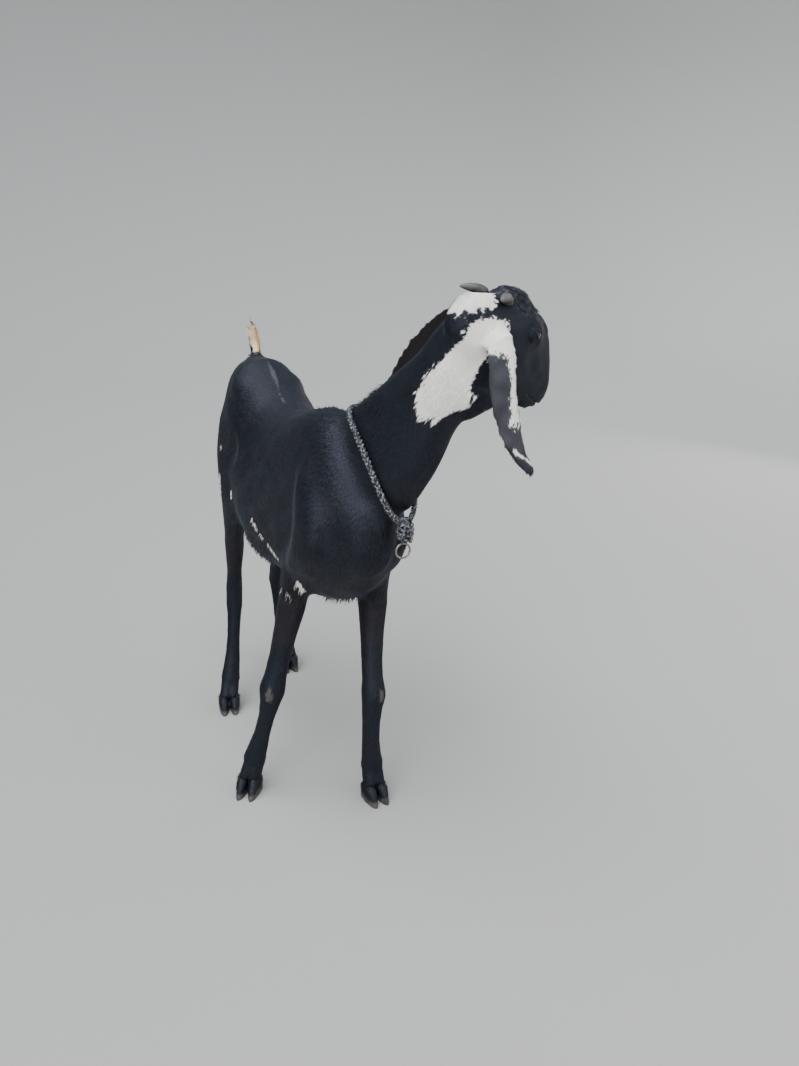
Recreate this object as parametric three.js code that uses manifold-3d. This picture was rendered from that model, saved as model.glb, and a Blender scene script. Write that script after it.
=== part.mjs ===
// A young lop-eared dairy goat, life size, standing still on four legs with its head turned back over
// its left shoulder and its short tail held up. It wears a plaited rope collar with two steel rings.
// Millimetres. The goat faces -Y, its left is +X and the floor is Z = 0.
import * as THREE from "three";
import { mergeVertices } from "three/addons/utils/BufferGeometryUtils.js";
import Module from "manifold-3d";

const wasm = await Module();
wasm.setup();

// ---------------------------------------------------------------- driving dimensions
const GAP = 0.4; // parting gap between neighbouring pieces
const UP = [0, 0, 1];
const FORWARD = [0, -1, 0];

// Sections are rows of [x, y, z, half side, half depth, egg, turn]. Egg widens the side that the depth
// axis points to and narrows the other. Turn, in degrees, rolls the section about its path.
const TRUNK = [
  [70, -86, 534, 44, 66, 0.1],
  [66, -52, 540, 66, 112, 0],
  [62, 0, 546, 79, 152, -0.12],
  [58, 60, 549, 86, 165, -0.22],
  [54, 120, 546, 92, 161, -0.2],
  [46, 200, 532, 103, 153, -0.2],
  [37, 280, 528, 108, 150, -0.2],
  [25, 350, 546, 103, 150, -0.12],
  [14, 420, 580, 92, 168, -0.02],
  [9, 480, 618, 78, 134, 0.02],
  [9, 522, 650, 52, 92, 0.04],
];

// The neck's depth axis points to the throat. It turns as the neck carries the head round.
const NECK = [
  [62, 40, 620, 54, 92, 0.1],
  [96, -36, 645, 49, 100, 0.25],
  [132, -103, 722, 44, 85, 0.2],
  [147, -130, 761, 42, 71, 0.15],
  [164, -157, 801, 42, 70, 0.1],
  [182, -176, 840, 40, 65],
];
const GULLET = [
  [158, -160, 778, 30, 36],
  [184, -178, 769, 34, 38],
  [212, -174, 779, 30, 34],
  [238, -162, 798, 20, 24],
];
const NECK_THROAT = [
  [0.16, -0.68, -0.71],
  [0.1, -0.2, -0.96],
];

// The head has axes of its own: along the nose, to its left, and out of the forehead, from the poll.
const HEAD = {
  poll: [203, -184, 914],
  nose: [0.79, 0.4, -0.46],
  left: [-0.34, 0.92, 0.17],
  scale: 1.06,
};
const FACE = [
  [-22, 0, -48, 25, 34],
  [6, 0, -52, 38, 51, 0.05],
  [40, 0, -50, 44, 67, 0.12],
  [78, 0, -45, 43, 67, 0.2],
  [114, 0, -41, 35, 59, 0.12],
  [146, 0, -45, 29, 50],
  [172, 0, -53, 25, 39, -0.08],
  [189, 0, -60, 22, 28, -0.1],
];
const FORELOCK = { at: [48, 0, 10], radii: [32, 27, 18] };
const BROW = { at: [72, 34, -11], radii: [25, 15, 17] };
const CHEEK = { at: [46, 25, -84], radii: [38, 15, 38] };
const CHIN = { at: [174, 0, -86], radii: [20, 15, 11] };
const LIP = { at: [190, 0, -66], radii: [15, 21, 17] };
const NOSTRIL = { at: [203, 13, -50], radii: [9, 3.5, 5], turn: [0, 35, 35] };
const MOUTH = { front: 216, corner: 150, at: -79, height: 1.6, half: 60 };
const EYE = { at: [72, 37, -16], radius: 12.5 };

const HORN = [
  [25, 17, -14, 9.5, 11],
  [18, 20, -2, 9.5, 10],
  [6, 26, -1, 8, 8],
  [-5, 33, -5, 5.5, 6],
  [-12, 38, -9, 2.5, 3],
];

// Each ear is a long thin lobe, gathered at its root and cupped along its length.
const EAR_RIGHT = [
  [200, -205, 866, 15, 8, 0, 0],
  [202, -230, 850, 19, 5, 0, 0],
  [202, -238, 815, 21, 3.6, 0, 0],
  [209, -239, 768, 20, 3, 0, 0],
  [222, -239, 728, 19, 3, 0, -20],
  [237, -239, 695, 18, 3, 0, -45],
  [259, -240, 670, 12, 2.4, 0, -60],
];
const EAR_LEFT = [
  [186, -152, 878, 15, 8],
  [177, -122, 872, 19, 5],
  [165, -91, 850, 21, 3.6],
  [150, -57, 819, 22, 3],
  [138, -27, 782, 21, 3],
  [129, -2, 744, 18, 3],
  [124, 16, 712, 9, 2.4],
];
const EAR_FACING = { right: [-0.2, -1, 0], left: [0.9, 0.3, 0.3] };

const TAIL = [
  [10, 500, 722, 14, 15],
  [8, 507, 748, 13, 10],
  [5, 508, 776, 12, 6.5],
  [1, 506, 800, 9, 4],
  [-3, 502, 822, 2.5, 1.5],
];

// Each leg has the muscle that joins it to the body, the limb down to the fetlock, the foot's place and
// the way it points. The cut says where the limb leaves the body, and the joint how high its knee is.
const LEGS = {
  fore_right: {
    mass: [
      [30, 70, 672, 20, 62],
      [6, 12, 600, 26, 62],
      [-12, -28, 530, 26, 52],
      [-13, 20, 462, 27, 56],
    ],
    rows: [
      [-12, 50, 450, 24, 56],
      [-14, 74, 393, 26, 38],
      [-25, 76, 345, 23.5, 29],
      [-40, 73, 285, 19, 23],
      [-53, 68, 235, 20, 21.5],
      [-60, 66, 206, 23.5, 23.5],
      [-66, 66, 176, 17, 18],
      [-76, 68, 135, 13.5, 15],
      [-86, 72, 95, 17, 17.5],
      [-95, 76, 64, 20, 19.5],
    ],
    cut: { at: [-60, 20, 378], normal: [0, 0, -1], width: 220 },
    joint: 206,
    hoof: [-110, 62],
    heading: -28,
  },
  fore_left: {
    mass: [
      [78, 66, 672, 20, 62],
      [106, 6, 600, 26, 62],
      [125, -34, 530, 26, 52],
      [127, 14, 462, 27, 56],
    ],
    rows: [
      [126, 40, 450, 24, 56],
      [125, 56, 392, 28, 39],
      [120, 44, 345, 24, 29.5],
      [113, 22, 285, 19.5, 23.5],
      [109, 2, 235, 19, 21],
      [108, -6, 208, 21.5, 22.5],
      [105, -10, 178, 17.5, 18.5],
      [103, -12, 135, 15.5, 16.5],
      [105, -10, 95, 17, 17.5],
      [109, -6, 64, 20, 19.5],
    ],
    cut: { at: [120, 20, 378], normal: [0, 0, -1], width: 138 },
    joint: 208,
    hoof: [110, -28],
    heading: 8,
  },
  hind_right: {
    mass: [
      [-28, 470, 672, 34, 62],
      [-47, 450, 600, 40, 78],
      [-58, 425, 520, 36, 72],
      [-60, 396, 446, 28, 60],
    ],
    rows: [
      [-64, 405, 470, 28, 50],
      [-66, 408, 420, 24, 40],
      [-66, 420, 360, 19, 31],
      [-66, 436, 295, 15, 21.5],
      [-67, 443, 238, 18, 25.5],
      [-70, 434, 200, 14.5, 19],
      [-76, 420, 145, 13, 15],
      [-82, 408, 98, 16.5, 17],
      [-89, 398, 64, 19.5, 19.5],
    ],
    cut: { at: [-70, 420, 385], normal: [0, 0.5, -0.87], width: 156 },
    joint: 232,
    hoof: [-98, 366],
    heading: -6,
  },
  hind_left: {
    mass: [
      [48, 478, 672, 34, 62],
      [68, 468, 600, 40, 78],
      [80, 448, 520, 36, 72],
      [80, 424, 446, 28, 60],
    ],
    rows: [
      [82, 438, 470, 28, 50],
      [78, 452, 420, 24, 40],
      [67, 492, 360, 19, 31],
      [55, 530, 295, 15, 21.5],
      [50, 553, 238, 18, 25.5],
      [51, 553, 200, 14.5, 19],
      [55, 551, 145, 13, 15],
      [60, 549, 98, 16.5, 17],
      [66, 546, 64, 19.5, 19.5],
    ],
    cut: { at: [84, 440, 400], normal: [0, 0.5, -0.87], width: 156 },
    joint: 232,
    hoof: [68, 516],
    heading: 4,
  },
};
const CUT_REACH = 460;
const CUTS = {
  head: { at: [168, -162, 806], normal: [0.75, -0.15, 0.64], reach: 320 },
  tail: { at: [8, 507, 754], normal: [0, 0.1, 1], reach: 120 },
  neck: { at: [98, -30, 642], normal: [0.2, -0.7, 0.7], reach: 400 },
};
const CUT_SPAN = { fore: 250, hind: 640 };

// One foot: two claws side by side under the pastern, and two dewclaws behind the fetlock.
const CLAW = [
  [0, 0, 0, 10.5, 29, -0.3],
  [0, 2, 10, 10.5, 26, -0.25],
  [0, 6, 24, 10, 21, -0.15],
  [0, 9, 34, 9, 17, -0.05],
];
const CLAW_SPREAD = 11.4; // from the foot's middle to each claw's
const DIGIT_TOP = 34.4; // where the hairy pastern starts above the claws
const DEWCLAW = { side: 8.5, behind: 17, below: 14, radius: 5, length: 14 };

// The rope collar lies round the root of the neck, high on the withers and low on the chest. It bows up
// the neck at its two sides. A knot at its low point holds two rings.
const COLLAR = {
  high: [82, 33, 721],
  low: [114, -117, 566],
  side: [0.93, 0.34, -0.14],
  half: 47,
  bow: 23,
  lean: -0.25, // how much more the right side bows than the left
  offset: -3.5, // of the loop's middle, towards the goat's right
  rope: 6,
};
const KNOT = { at: [115, -122, 552], radii: [13, 12, 18] };
const RING = { radius: 12, wire: 1.6, places: [[112, -123, 523], [124, -126, 550]], turns: [5, 70] };

// ---------------------------------------------------------------- shape helpers
const vector = (list) => new THREE.Vector3(...list);

/** Merges a geometry's shared vertices and makes it a solid. */
function solid(geometry) {
  const loose = geometry.index ? geometry.toNonIndexed() : geometry;
  const bare = new THREE.BufferGeometry().setAttribute("position", loose.getAttribute("position"));
  const merged = mergeVertices(bare, 1e-3);
  return new wasm.Manifold(
    new wasm.Mesh({
      numProp: 3,
      vertProperties: new Float32Array(merged.attributes.position.array),
      triVerts: new Uint32Array(merged.index.array),
    }),
  );
}

/** One smooth value per column along rows of numbers, t from 0 to 1. */
function alongRows(rows, columns) {
  const curve = new THREE.CatmullRomCurve3(
    rows.map((row) => vector(columns.map((column) => row[column] ?? 0))),
    false,
    "catmullrom",
    0.5,
  );
  return (t) => curve.getPoint(t);
}

/**
 * A closed body swept along rows of sections. Depth is the axis that each section's depth follows, and
 * depthEnd the axis at the far end. Grow fattens it all round, and round is the length of its domed ends
 * as a share of the end's smaller half size. Cup bends each section into a gutter.
 */
function sweep(rows, options) {
  const { depth, depthEnd = depth, sides = 12, steps = 12, round = 0.7 } = options;
  const { grow = 0, power = 2, cup = 0 } = options;
  const centreAt = alongRows(rows, [0, 1, 2]);
  const sizeAt = alongRows(rows, [3, 4, 5]);
  const turnAt = alongRows(rows, [6]);
  const points = [];

  const ring = (t, shrink, push) => {
    const centre = centreAt(t);
    const size = sizeAt(t);
    const nearby = 1e-3;
    const along = centreAt(Math.min(1, t + nearby)).sub(centreAt(Math.max(0, t - nearby))).normalize();
    const deep = vector(depth).lerp(vector(depthEnd), t).normalize();
    const side = deep.clone().cross(along).normalize();
    const roll = (turnAt(t).x * Math.PI) / 180;
    side.applyAxisAngle(along, roll);
    deep.applyAxisAngle(along, roll);
    const halfSide = (size.x + grow) * shrink;
    const halfDeep = (size.y + grow) * shrink;
    centre.addScaledVector(along, push * Math.min(size.x + grow, size.y + grow));
    if (shrink === 0) return points.push(centre);
    for (let i = 0; i < sides; i++) {
      const angle = (2 * Math.PI * i) / sides;
      const across = Math.sign(Math.cos(angle)) * Math.abs(Math.cos(angle)) ** (2 / power);
      const up = Math.sign(Math.sin(angle)) * Math.abs(Math.sin(angle)) ** (2 / power);
      const sideways = halfSide * across * (1 + size.z * up);
      const gutter = cup * halfSide * (1 - across * across);
      points.push(
        centre.clone().addScaledVector(side, sideways).addScaledVector(deep, halfDeep * up + gutter),
      );
    }
  };

  const domes = round > 0 ? [60, 30] : [];
  const dome = (degrees) => [Math.cos((degrees * Math.PI) / 180), Math.sin((degrees * Math.PI) / 180)];
  ring(0, 0, -round);
  for (const angle of domes) ring(0, dome(angle)[0], -round * dome(angle)[1]);
  for (let i = 0; i <= steps; i++) ring(i / steps, 1, 0);
  for (const angle of [...domes].reverse()) ring(1, dome(angle)[0], round * dome(angle)[1]);
  ring(1, 0, round);

  const rings = (points.length - 2) / sides;
  const at = (row, i) => 1 + row * sides + (i % sides);
  const faces = [];
  for (let i = 0; i < sides; i++) {
    faces.push(0, at(0, i + 1), at(0, i));
    faces.push(points.length - 1, at(rings - 1, i), at(rings - 1, i + 1));
    for (let row = 0; row + 1 < rings; row++) {
      faces.push(at(row, i), at(row, i + 1), at(row + 1, i + 1));
      faces.push(at(row, i), at(row + 1, i + 1), at(row + 1, i));
    }
  }
  return solid(new THREE.BufferGeometry().setFromPoints(points).setIndex(faces));
}

/** An ellipsoid, turned by degrees about its own axes. */
function blob({ at, radii, turn = [0, 0, 0] }, grow = 0, detail = 10) {
  const ball = new THREE.SphereGeometry(1, detail, detail / 2 + 2);
  ball.scale(radii[0] + grow, radii[1] + grow, radii[2] + grow);
  const degrees = turn.map((angle) => (angle * Math.PI) / 180);
  ball.applyMatrix4(new THREE.Matrix4().makeRotationFromEuler(new THREE.Euler(...degrees)));
  return solid(ball.translate(...at));
}

const join = (solids) => solids.reduce((sum, next) => sum.add(next));
const mirrored = ({ at: [x, y, z], radii, turn = [0, 0, 0] }) => ({
  at: [x, -y, z],
  radii,
  turn: [-turn[0], turn[1], -turn[2]],
});
const placed = (made, matrix) => made.transform(matrix.elements);

/** A box that starts at a point and runs along a normal. Its width lies along the lateral axis. */
function region(point, normal, reach, width, height, lateral = [1, 0, 0]) {
  const out = vector(normal).normalize();
  const side = vector(lateral).addScaledVector(out, -vector(lateral).dot(out)).normalize();
  const basis = new THREE.Matrix4().makeBasis(out, side, out.clone().cross(side));
  return (grow) => {
    const box = new THREE.BoxGeometry(reach + grow * 2, width + grow * 2, height + grow * 2);
    box.translate(reach / 2, 0, 0).applyMatrix4(basis).translate(...point);
    return solid(box);
  };
}

// ---------------------------------------------------------------- head
const headFrame = (() => {
  const nose = vector(HEAD.nose).normalize();
  const left = vector(HEAD.left).addScaledVector(nose, -vector(HEAD.left).dot(nose)).normalize();
  const crown = nose.clone().cross(left);
  const size = new THREE.Vector3().setScalar(HEAD.scale);
  return new THREE.Matrix4().makeBasis(nose, left, crown).scale(size).setPosition(vector(HEAD.poll));
})();
const toWorld = (list) => vector(list).applyMatrix4(headFrame).toArray();
const turnToWorld = (list) => vector(list).transformDirection(headFrame).toArray();

/** The head's flesh: skull and jaw, brows, cheeks, chin, lips and the curls on the forehead. */
function headFlesh(grow = 0) {
  const skull = sweep(FACE, { depth: UP, sides: 16, steps: 10, power: 2.2, round: 0.6, grow });
  const lumps = [BROW, mirrored(BROW), CHEEK, mirrored(CHEEK), CHIN, LIP, FORELOCK];
  return placed(join([skull, ...lumps.map((lump) => blob(lump, grow, 8))]), headFrame);
}

/** The slit between the lips, open at the front and closing at the corners of the mouth. */
function mouthSlit() {
  const slit = new THREE.BoxGeometry(MOUTH.front - MOUTH.corner, MOUTH.half * 2, MOUTH.height);
  slit.translate((MOUTH.front + MOUTH.corner) / 2, 0, MOUTH.at);
  const closed = blob({ at: [MOUTH.corner + 18, 0, MOUTH.at], radii: [40, 17, 12] });
  return placed(solid(slit).subtract(closed), headFrame);
}

const nostrils = () => placed(join([blob(NOSTRIL, 0, 8), blob(mirrored(NOSTRIL), 0, 8)]), headFrame);

function horn(side) {
  const rows = HORN.map(([x, y, z, ...sizes]) => [...toWorld([x, side * y, z]), ...sizes]);
  return sweep(rows, { depth: turnToWorld(UP), sides: 8, steps: 7, round: 0.8 });
}

function eye(side, grow = 0) {
  const at = [EYE.at[0], side * EYE.at[1], EYE.at[2]];
  return placed(blob({ at, radii: Array(3).fill(EYE.radius) }, grow, 10), headFrame);
}

const ear = (rows, depth) => sweep(rows, { depth, sides: 10, steps: 8, cup: 0.2 });

// ---------------------------------------------------------------- body
const trunkFlesh = () => sweep(TRUNK, { depth: UP, sides: 18, steps: 12, power: 2.5 });

function neckFlesh(grow = 0) {
  const [depth, depthEnd] = NECK_THROAT;
  const nape = sweep(NECK, { depth, depthEnd, sides: 14, steps: 8, grow });
  return nape.add(sweep(GULLET, { depth: UP, sides: 10, steps: 3, grow }));
}

/** A leg from inside the body to the fetlock, with its two digits reaching to the claws. */
function legFlesh({ mass, rows, hoof, heading }) {
  const limb = sweep(rows, { depth: FORWARD, sides: 9, steps: 11 });
  const [fetlockX, fetlockY, fetlockZ] = rows.at(-1);
  const turned = new THREE.Matrix4().makeRotationZ((heading * Math.PI) / 180);
  const digits = [-1, 1].map((side) => {
    const spread = vector([side * CLAW_SPREAD * 0.85, 9, 0]).applyMatrix4(turned);
    const start = vector([side * 6, 0, 0]).applyMatrix4(turned);
    return sweep(
      [
        [fetlockX + start.x, fetlockY + start.y, fetlockZ, 11, 16],
        [hoof[0] + spread.x, hoof[1] + spread.y, DIGIT_TOP - 6, 9.5, 17],
      ],
      { depth: vector(FORWARD).applyMatrix4(turned).toArray(), sides: 8, steps: 1, round: 0 },
    );
  });
  return join([sweep(mass, { depth: FORWARD, sides: 12, steps: 4 }), limb, ...digits]);
}

function claw({ hoof, heading }, side) {
  const place = new THREE.Matrix4().makeRotationZ((heading * Math.PI) / 180);
  place.setPosition(hoof[0], hoof[1], 0);
  const rows = CLAW.map(([x, ...rest]) => [x + side * CLAW_SPREAD, ...rest]);
  return placed(sweep(rows, { depth: FORWARD, sides: 10, steps: 2, round: 0, power: 2.4 }), place);
}

function dewclaw({ rows, heading }, side, grow = 0) {
  const [x, y, z] = rows.at(-1);
  const radius = DEWCLAW.radius + grow;
  const cone = new THREE.CylinderGeometry(radius, radius * 0.45, DEWCLAW.length + 2 * grow, 6);
  cone.rotateX(Math.PI / 2 - 0.5);
  cone.translate(side * DEWCLAW.side, DEWCLAW.behind, -DEWCLAW.below);
  return solid(cone.rotateZ((heading * Math.PI) / 180).translate(x, y, z));
}

// ---------------------------------------------------------------- collar
/** The collar's line: a closed loop on the slope between its high and low points. */
class CollarLine extends THREE.Curve {
  getPoint(t, target = new THREE.Vector3()) {
    const angle = 2 * Math.PI * t;
    const middle = vector(COLLAR.high).add(vector(COLLAR.low)).multiplyScalar(0.5);
    const rise = vector(COLLAR.high).sub(middle);
    const side = vector(COLLAR.side).normalize();
    const alongNeck = side.clone().cross(rise.clone().normalize());
    return target
      .copy(middle)
      .addScaledVector(rise, -Math.cos(angle))
      .addScaledVector(side, COLLAR.half * Math.sin(angle) + COLLAR.offset * Math.sin(angle) ** 2)
      .addScaledVector(alongNeck, COLLAR.bow * Math.sin(angle) ** 2 * (1 + COLLAR.lean * Math.sin(angle)));
  }
}

/** The rope as a closed round tube on the collar's line. */
function rope(grow = 0) {
  const sides = 7;
  const steps = 34;
  const line = new CollarLine();
  const { binormals, normals } = line.computeFrenetFrames(steps, true);
  const points = [];
  for (let i = 0; i < steps; i++)
    for (let j = 0; j < sides; j++) {
      const angle = (2 * Math.PI * j) / sides;
      const point = line.getPointAt(i / steps);
      point.addScaledVector(normals[i], (COLLAR.rope + grow) * Math.cos(angle));
      points.push(point.addScaledVector(binormals[i], (COLLAR.rope + grow) * Math.sin(angle)));
    }
  const faces = [];
  const at = (i, j) => (i % steps) * sides + (j % sides);
  for (let i = 0; i < steps; i++)
    for (let j = 0; j < sides; j++) {
      faces.push(at(i, j), at(i, j + 1), at(i + 1, j + 1));
      faces.push(at(i, j), at(i + 1, j + 1), at(i + 1, j));
    }
  return solid(new THREE.BufferGeometry().setFromPoints(points).setIndex(faces));
}

function ring(number, grow = 0) {
  const torus = new THREE.TorusGeometry(RING.radius, RING.wire + grow, 5, 16);
  torus.rotateX(Math.PI / 2).rotateZ((RING.turns[number] * Math.PI) / 180);
  return solid(torus.translate(...RING.places[number]));
}

// ---------------------------------------------------------------- materials and assembly
const paint = (color, roughness, metalness = 0) =>
  new THREE.MeshStandardMaterial({ color, roughness, metalness });
const COAT = paint(0x17171b, 0.45);
const WHITE_COAT = paint(0xe4e0da, 0.6);
const EAR_SKIN = paint(0x4a4a4e, 0.6);
const HORN_KERATIN = paint(0x6f675f, 0.55);
const HOOF_KERATIN = paint(0x4d463f, 0.5);
const EYE_WET = paint(0x3a2410, 0.08);
const ROPE = paint(0x4a4c50, 0.85);
const STEEL = paint(0x9a968f, 0.35, 1);

const goat = new THREE.Group();

/** Adds a solid to the goat as a named mesh. */
function add(name, made, material) {
  const { vertProperties, triVerts } = made.getMesh();
  const geometry = new THREE.BufferGeometry();
  geometry.setAttribute("position", new THREE.BufferAttribute(vertProperties, 3));
  geometry.setIndex(new THREE.BufferAttribute(triVerts, 1));
  geometry.computeVertexNormals();
  const mesh = new THREE.Mesh(geometry, material);
  mesh.name = name;
  goat.add(mesh);
}

const SIDES = { right: -1, left: 1 };
const bothSides = (make) => join(Object.values(SIDES).map(make));
let flesh = join([
  trunkFlesh(),
  neckFlesh(),
  headFlesh(),
  sweep(TAIL, { depth: FORWARD, sides: 9, steps: 6 }),
  ...Object.values(LEGS).map(legFlesh),
]);
flesh = flesh.subtract(rope(GAP)).subtract(blob(KNOT, GAP));
for (const number of RING.places.keys()) flesh = flesh.subtract(ring(number, GAP));

/** Parts the flesh: what lies inside the box becomes a piece, and the rest stays, a gap away. */
function take(box) {
  const piece = flesh.intersect(box(0));
  flesh = flesh.subtract(box(GAP));
  return piece;
}

for (const [name, leg] of Object.entries(LEGS)) {
  const [x, y, z] = leg.cut.at;
  const span = CUT_SPAN[name.split("_")[0]];
  const foot = take(region([x, y, leg.joint], [0, 0, -1], CUT_REACH, leg.cut.width, 300));
  const dewclaws = bothSides((side) => dewclaw(leg, side, GAP));
  const clawSpace = region([x, y, DIGIT_TOP], [0, 0, -1], CUT_REACH, leg.cut.width, 300)(0);
  add(`${name}_lower_leg`, foot.subtract(dewclaws).subtract(clawSpace), COAT);
  add(`${name}_upper_leg`, take(region([x, y, z], leg.cut.normal, CUT_REACH, leg.cut.width, span)), COAT);
  for (const [which, side] of Object.entries(SIDES)) {
    add(`${name}_claw_${which}`, claw(leg, side), HOOF_KERATIN);
    add(`${name}_dewclaw_${which}`, dewclaw(leg, side), HOOF_KERATIN);
  }
}

const face = take(region(CUTS.head.at, CUTS.head.normal, CUTS.head.reach, 360, 360));
const sockets = bothSides((side) => eye(side, GAP));
add("head", face.subtract(sockets).subtract(nostrils()).subtract(mouthSlit()), COAT);
add("tail", take(region(CUTS.tail.at, CUTS.tail.normal, CUTS.tail.reach, 60, 60)), WHITE_COAT);
add("neck", take(region(CUTS.neck.at, CUTS.neck.normal, CUTS.neck.reach, 400, 300)), COAT);
add("trunk", flesh, COAT);

const around = headFlesh(GAP).add(neckFlesh(GAP));
for (const [name, side] of Object.entries(SIDES)) {
  add(`eye_${name}`, eye(side), EYE_WET);
  add(`horn_${name}`, horn(side).subtract(around), HORN_KERATIN);
}
add("ear_right", ear(EAR_RIGHT, EAR_FACING.right).subtract(around), EAR_SKIN);
add("ear_left", ear(EAR_LEFT, EAR_FACING.left).subtract(around), EAR_SKIN);

add("collar_rope", rope().subtract(blob(KNOT, GAP)), ROPE);
const rings = join([...RING.places.keys()].map((number) => ring(number, GAP)));
add("collar_knot", blob(KNOT).subtract(rings), ROPE);
for (const number of RING.places.keys()) add(`collar_ring_${number + 1}`, ring(number), STEEL);

// The goat's own origin is the middle of its footprint box, on the floor.
const bounds = new THREE.Box3().setFromObject(goat);
const middle = bounds.getCenter(new THREE.Vector3());
goat.position.set(-middle.x, -middle.y, -bounds.min.z);

export default goat;
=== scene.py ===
"""The looks of a life-size still model: a young lop-eared dairy goat in a plaited rope collar.

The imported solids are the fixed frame. One skin stands for every node of flesh, with lids, nostrils,
a mouth line and muscles worked into it, and tufts of short hair lie over it. Eyes, horns, hooves and
the collar are pieces of their own. Places are given in the goat's own frame, in millimetres, with
the origin on the floor midway between the fore hooves: the goat faces -Y and its left is +X.
"""

import logging
import math
from contextlib import contextmanager
from dataclasses import dataclass, field
from enum import Enum
from typing import Iterator, Sequence

import bpy
import numpy as np
from mathutils import Matrix, Vector
from mathutils.bvhtree import BVHTree

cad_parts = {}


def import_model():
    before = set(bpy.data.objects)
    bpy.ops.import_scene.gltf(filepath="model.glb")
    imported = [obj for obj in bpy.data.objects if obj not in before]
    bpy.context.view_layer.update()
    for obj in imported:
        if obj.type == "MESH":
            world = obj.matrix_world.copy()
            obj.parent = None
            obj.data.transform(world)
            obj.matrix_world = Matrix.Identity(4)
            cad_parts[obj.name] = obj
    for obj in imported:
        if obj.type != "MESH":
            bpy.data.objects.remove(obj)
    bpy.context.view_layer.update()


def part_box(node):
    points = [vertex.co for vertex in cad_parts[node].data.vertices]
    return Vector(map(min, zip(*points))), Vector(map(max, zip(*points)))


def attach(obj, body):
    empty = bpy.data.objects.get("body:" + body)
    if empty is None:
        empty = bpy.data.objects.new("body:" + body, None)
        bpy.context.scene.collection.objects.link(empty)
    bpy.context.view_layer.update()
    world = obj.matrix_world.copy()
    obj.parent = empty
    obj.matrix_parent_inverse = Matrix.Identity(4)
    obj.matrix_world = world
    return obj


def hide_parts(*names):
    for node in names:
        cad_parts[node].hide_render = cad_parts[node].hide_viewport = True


LOG = logging.getLogger("goat")
MM = 0.001
HOOF_MIDDLE = np.array([-0.10646, -0.16367, 0.0])  # the goat frame's origin in the row frame, metres
BODY = "root"
SEED = 11
BARE_CLAW = 19.0  # millimetres of horn that show under the hair of a foot
LEGS = ("fore_right", "fore_left", "hind_right", "hind_left")
SIDES = {"right": -1.0, "left": 1.0}
TUFTS_IN_A_PIECE = 30000

Triple = tuple[float, float, float]
Bone = tuple[Triple, Triple]
Socket = bpy.types.NodeSocket
Paint = Socket | tuple[float, float, float, float]


# ---------------------------------------------------------------- small helpers
def place(points: Sequence) -> np.ndarray:
    """Turns millimetres of the goat's own frame to metres in the row frame."""
    return np.asarray(points, float) * MM + HOOF_MIDDLE


def to_goat(points: np.ndarray) -> np.ndarray:
    """Turns metres in the row frame to millimetres of the goat's own frame."""
    return (points - HOOF_MIDDLE) / MM


def unit(vectors: np.ndarray) -> np.ndarray:
    """Returns the vectors, one or a row each, at length one."""
    return vectors / np.maximum(np.linalg.norm(vectors, axis=-1, keepdims=True), 1e-12)


def smooth_step(values: np.ndarray, low: float, high: float) -> np.ndarray:
    """Rises smoothly from 0 at low to 1 at high."""
    share = np.clip((values - low) / (high - low), 0.0, 1.0)
    return share * share * (3.0 - 2.0 * share)


def ripple(points: np.ndarray, wavelength: float, phase: float = 0.0) -> np.ndarray:
    """A smooth, irregular wave through space, made of crossing sines, for natural unevenness.

    Args:
        points: Places in metres.
        wavelength: The rough size of its swells, in metres.
        phase: Shifts it, so that two ripples differ.

    Returns:
        One number for each point, mostly between -1 and 1.
    """
    step = 2.0 * math.pi / wavelength
    headings = (
        *((1.0, 0.31, -0.22), (-0.42, 1.07, 0.35), (0.28, -0.51, 1.13)),
        *((0.79, 0.66, 0.71), (-0.9, 0.4, 0.8)),
    )
    total = np.zeros(len(points))
    for number, heading in enumerate(headings):
        total += np.sin(points @ np.array(heading) * step + phase * (number + 1.7) + 2.1 * number)
    return total / 2.4


def deselect_all() -> None:
    """Leaves nothing selected, as an operator acts on all that is."""
    if bpy.context.object and bpy.context.object.mode != "OBJECT":
        bpy.ops.object.mode_set(mode="OBJECT")
    bpy.ops.object.select_all(action="DESELECT")


def pick(*objects: bpy.types.Object) -> None:
    """Selects only these objects, with the first one active."""
    deselect_all()
    for piece in objects:
        piece.select_set(True)
    bpy.context.view_layer.objects.active = objects[0]


@contextmanager
def editing(piece: bpy.types.Object, action: str = "SELECT") -> Iterator[None]:
    """Opens a mesh in edit mode, with all or nothing of it selected, and closes it again."""
    pick(piece)
    bpy.ops.object.mode_set(mode="EDIT")
    bpy.ops.mesh.select_all(action=action)
    yield
    bpy.ops.object.mode_set(mode="OBJECT")


def shade_smooth(piece: bpy.types.Object) -> None:
    """Shades a piece smooth."""
    pick(piece)
    bpy.ops.object.shade_smooth()


def settle(piece: bpy.types.Object, name: str) -> bpy.types.Object:
    """Names a new piece and puts its place into its mesh, so that its object sits at the origin."""
    piece.name = name
    pick(piece)
    bpy.ops.object.transform_apply(location=True, rotation=True, scale=True)
    return piece


def joined(name: str, pieces: Sequence[bpy.types.Object]) -> bpy.types.Object:
    """Joins pieces into one, under a new name."""
    pick(*pieces)
    if len(pieces) > 1:
        bpy.ops.object.join()
    pieces[0].name = name
    return pieces[0]


def apply_modifier(piece: bpy.types.Object, kind: str, **settings) -> None:
    """Adds a modifier of some type, with its own settings, and applies it."""
    pick(piece)
    modifier = piece.modifiers.new(kind.title(), kind)
    for name, value in settings.items():
        setattr(modifier, name, value)
    bpy.ops.object.modifier_apply(modifier=modifier.name)


def new_object(name: str, mesh: bpy.types.Mesh) -> bpy.types.Object:
    """Puts a mesh into the scene as an object at the origin."""
    piece = bpy.data.objects.new(name, mesh)
    bpy.context.scene.collection.objects.link(piece)
    return piece


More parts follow.
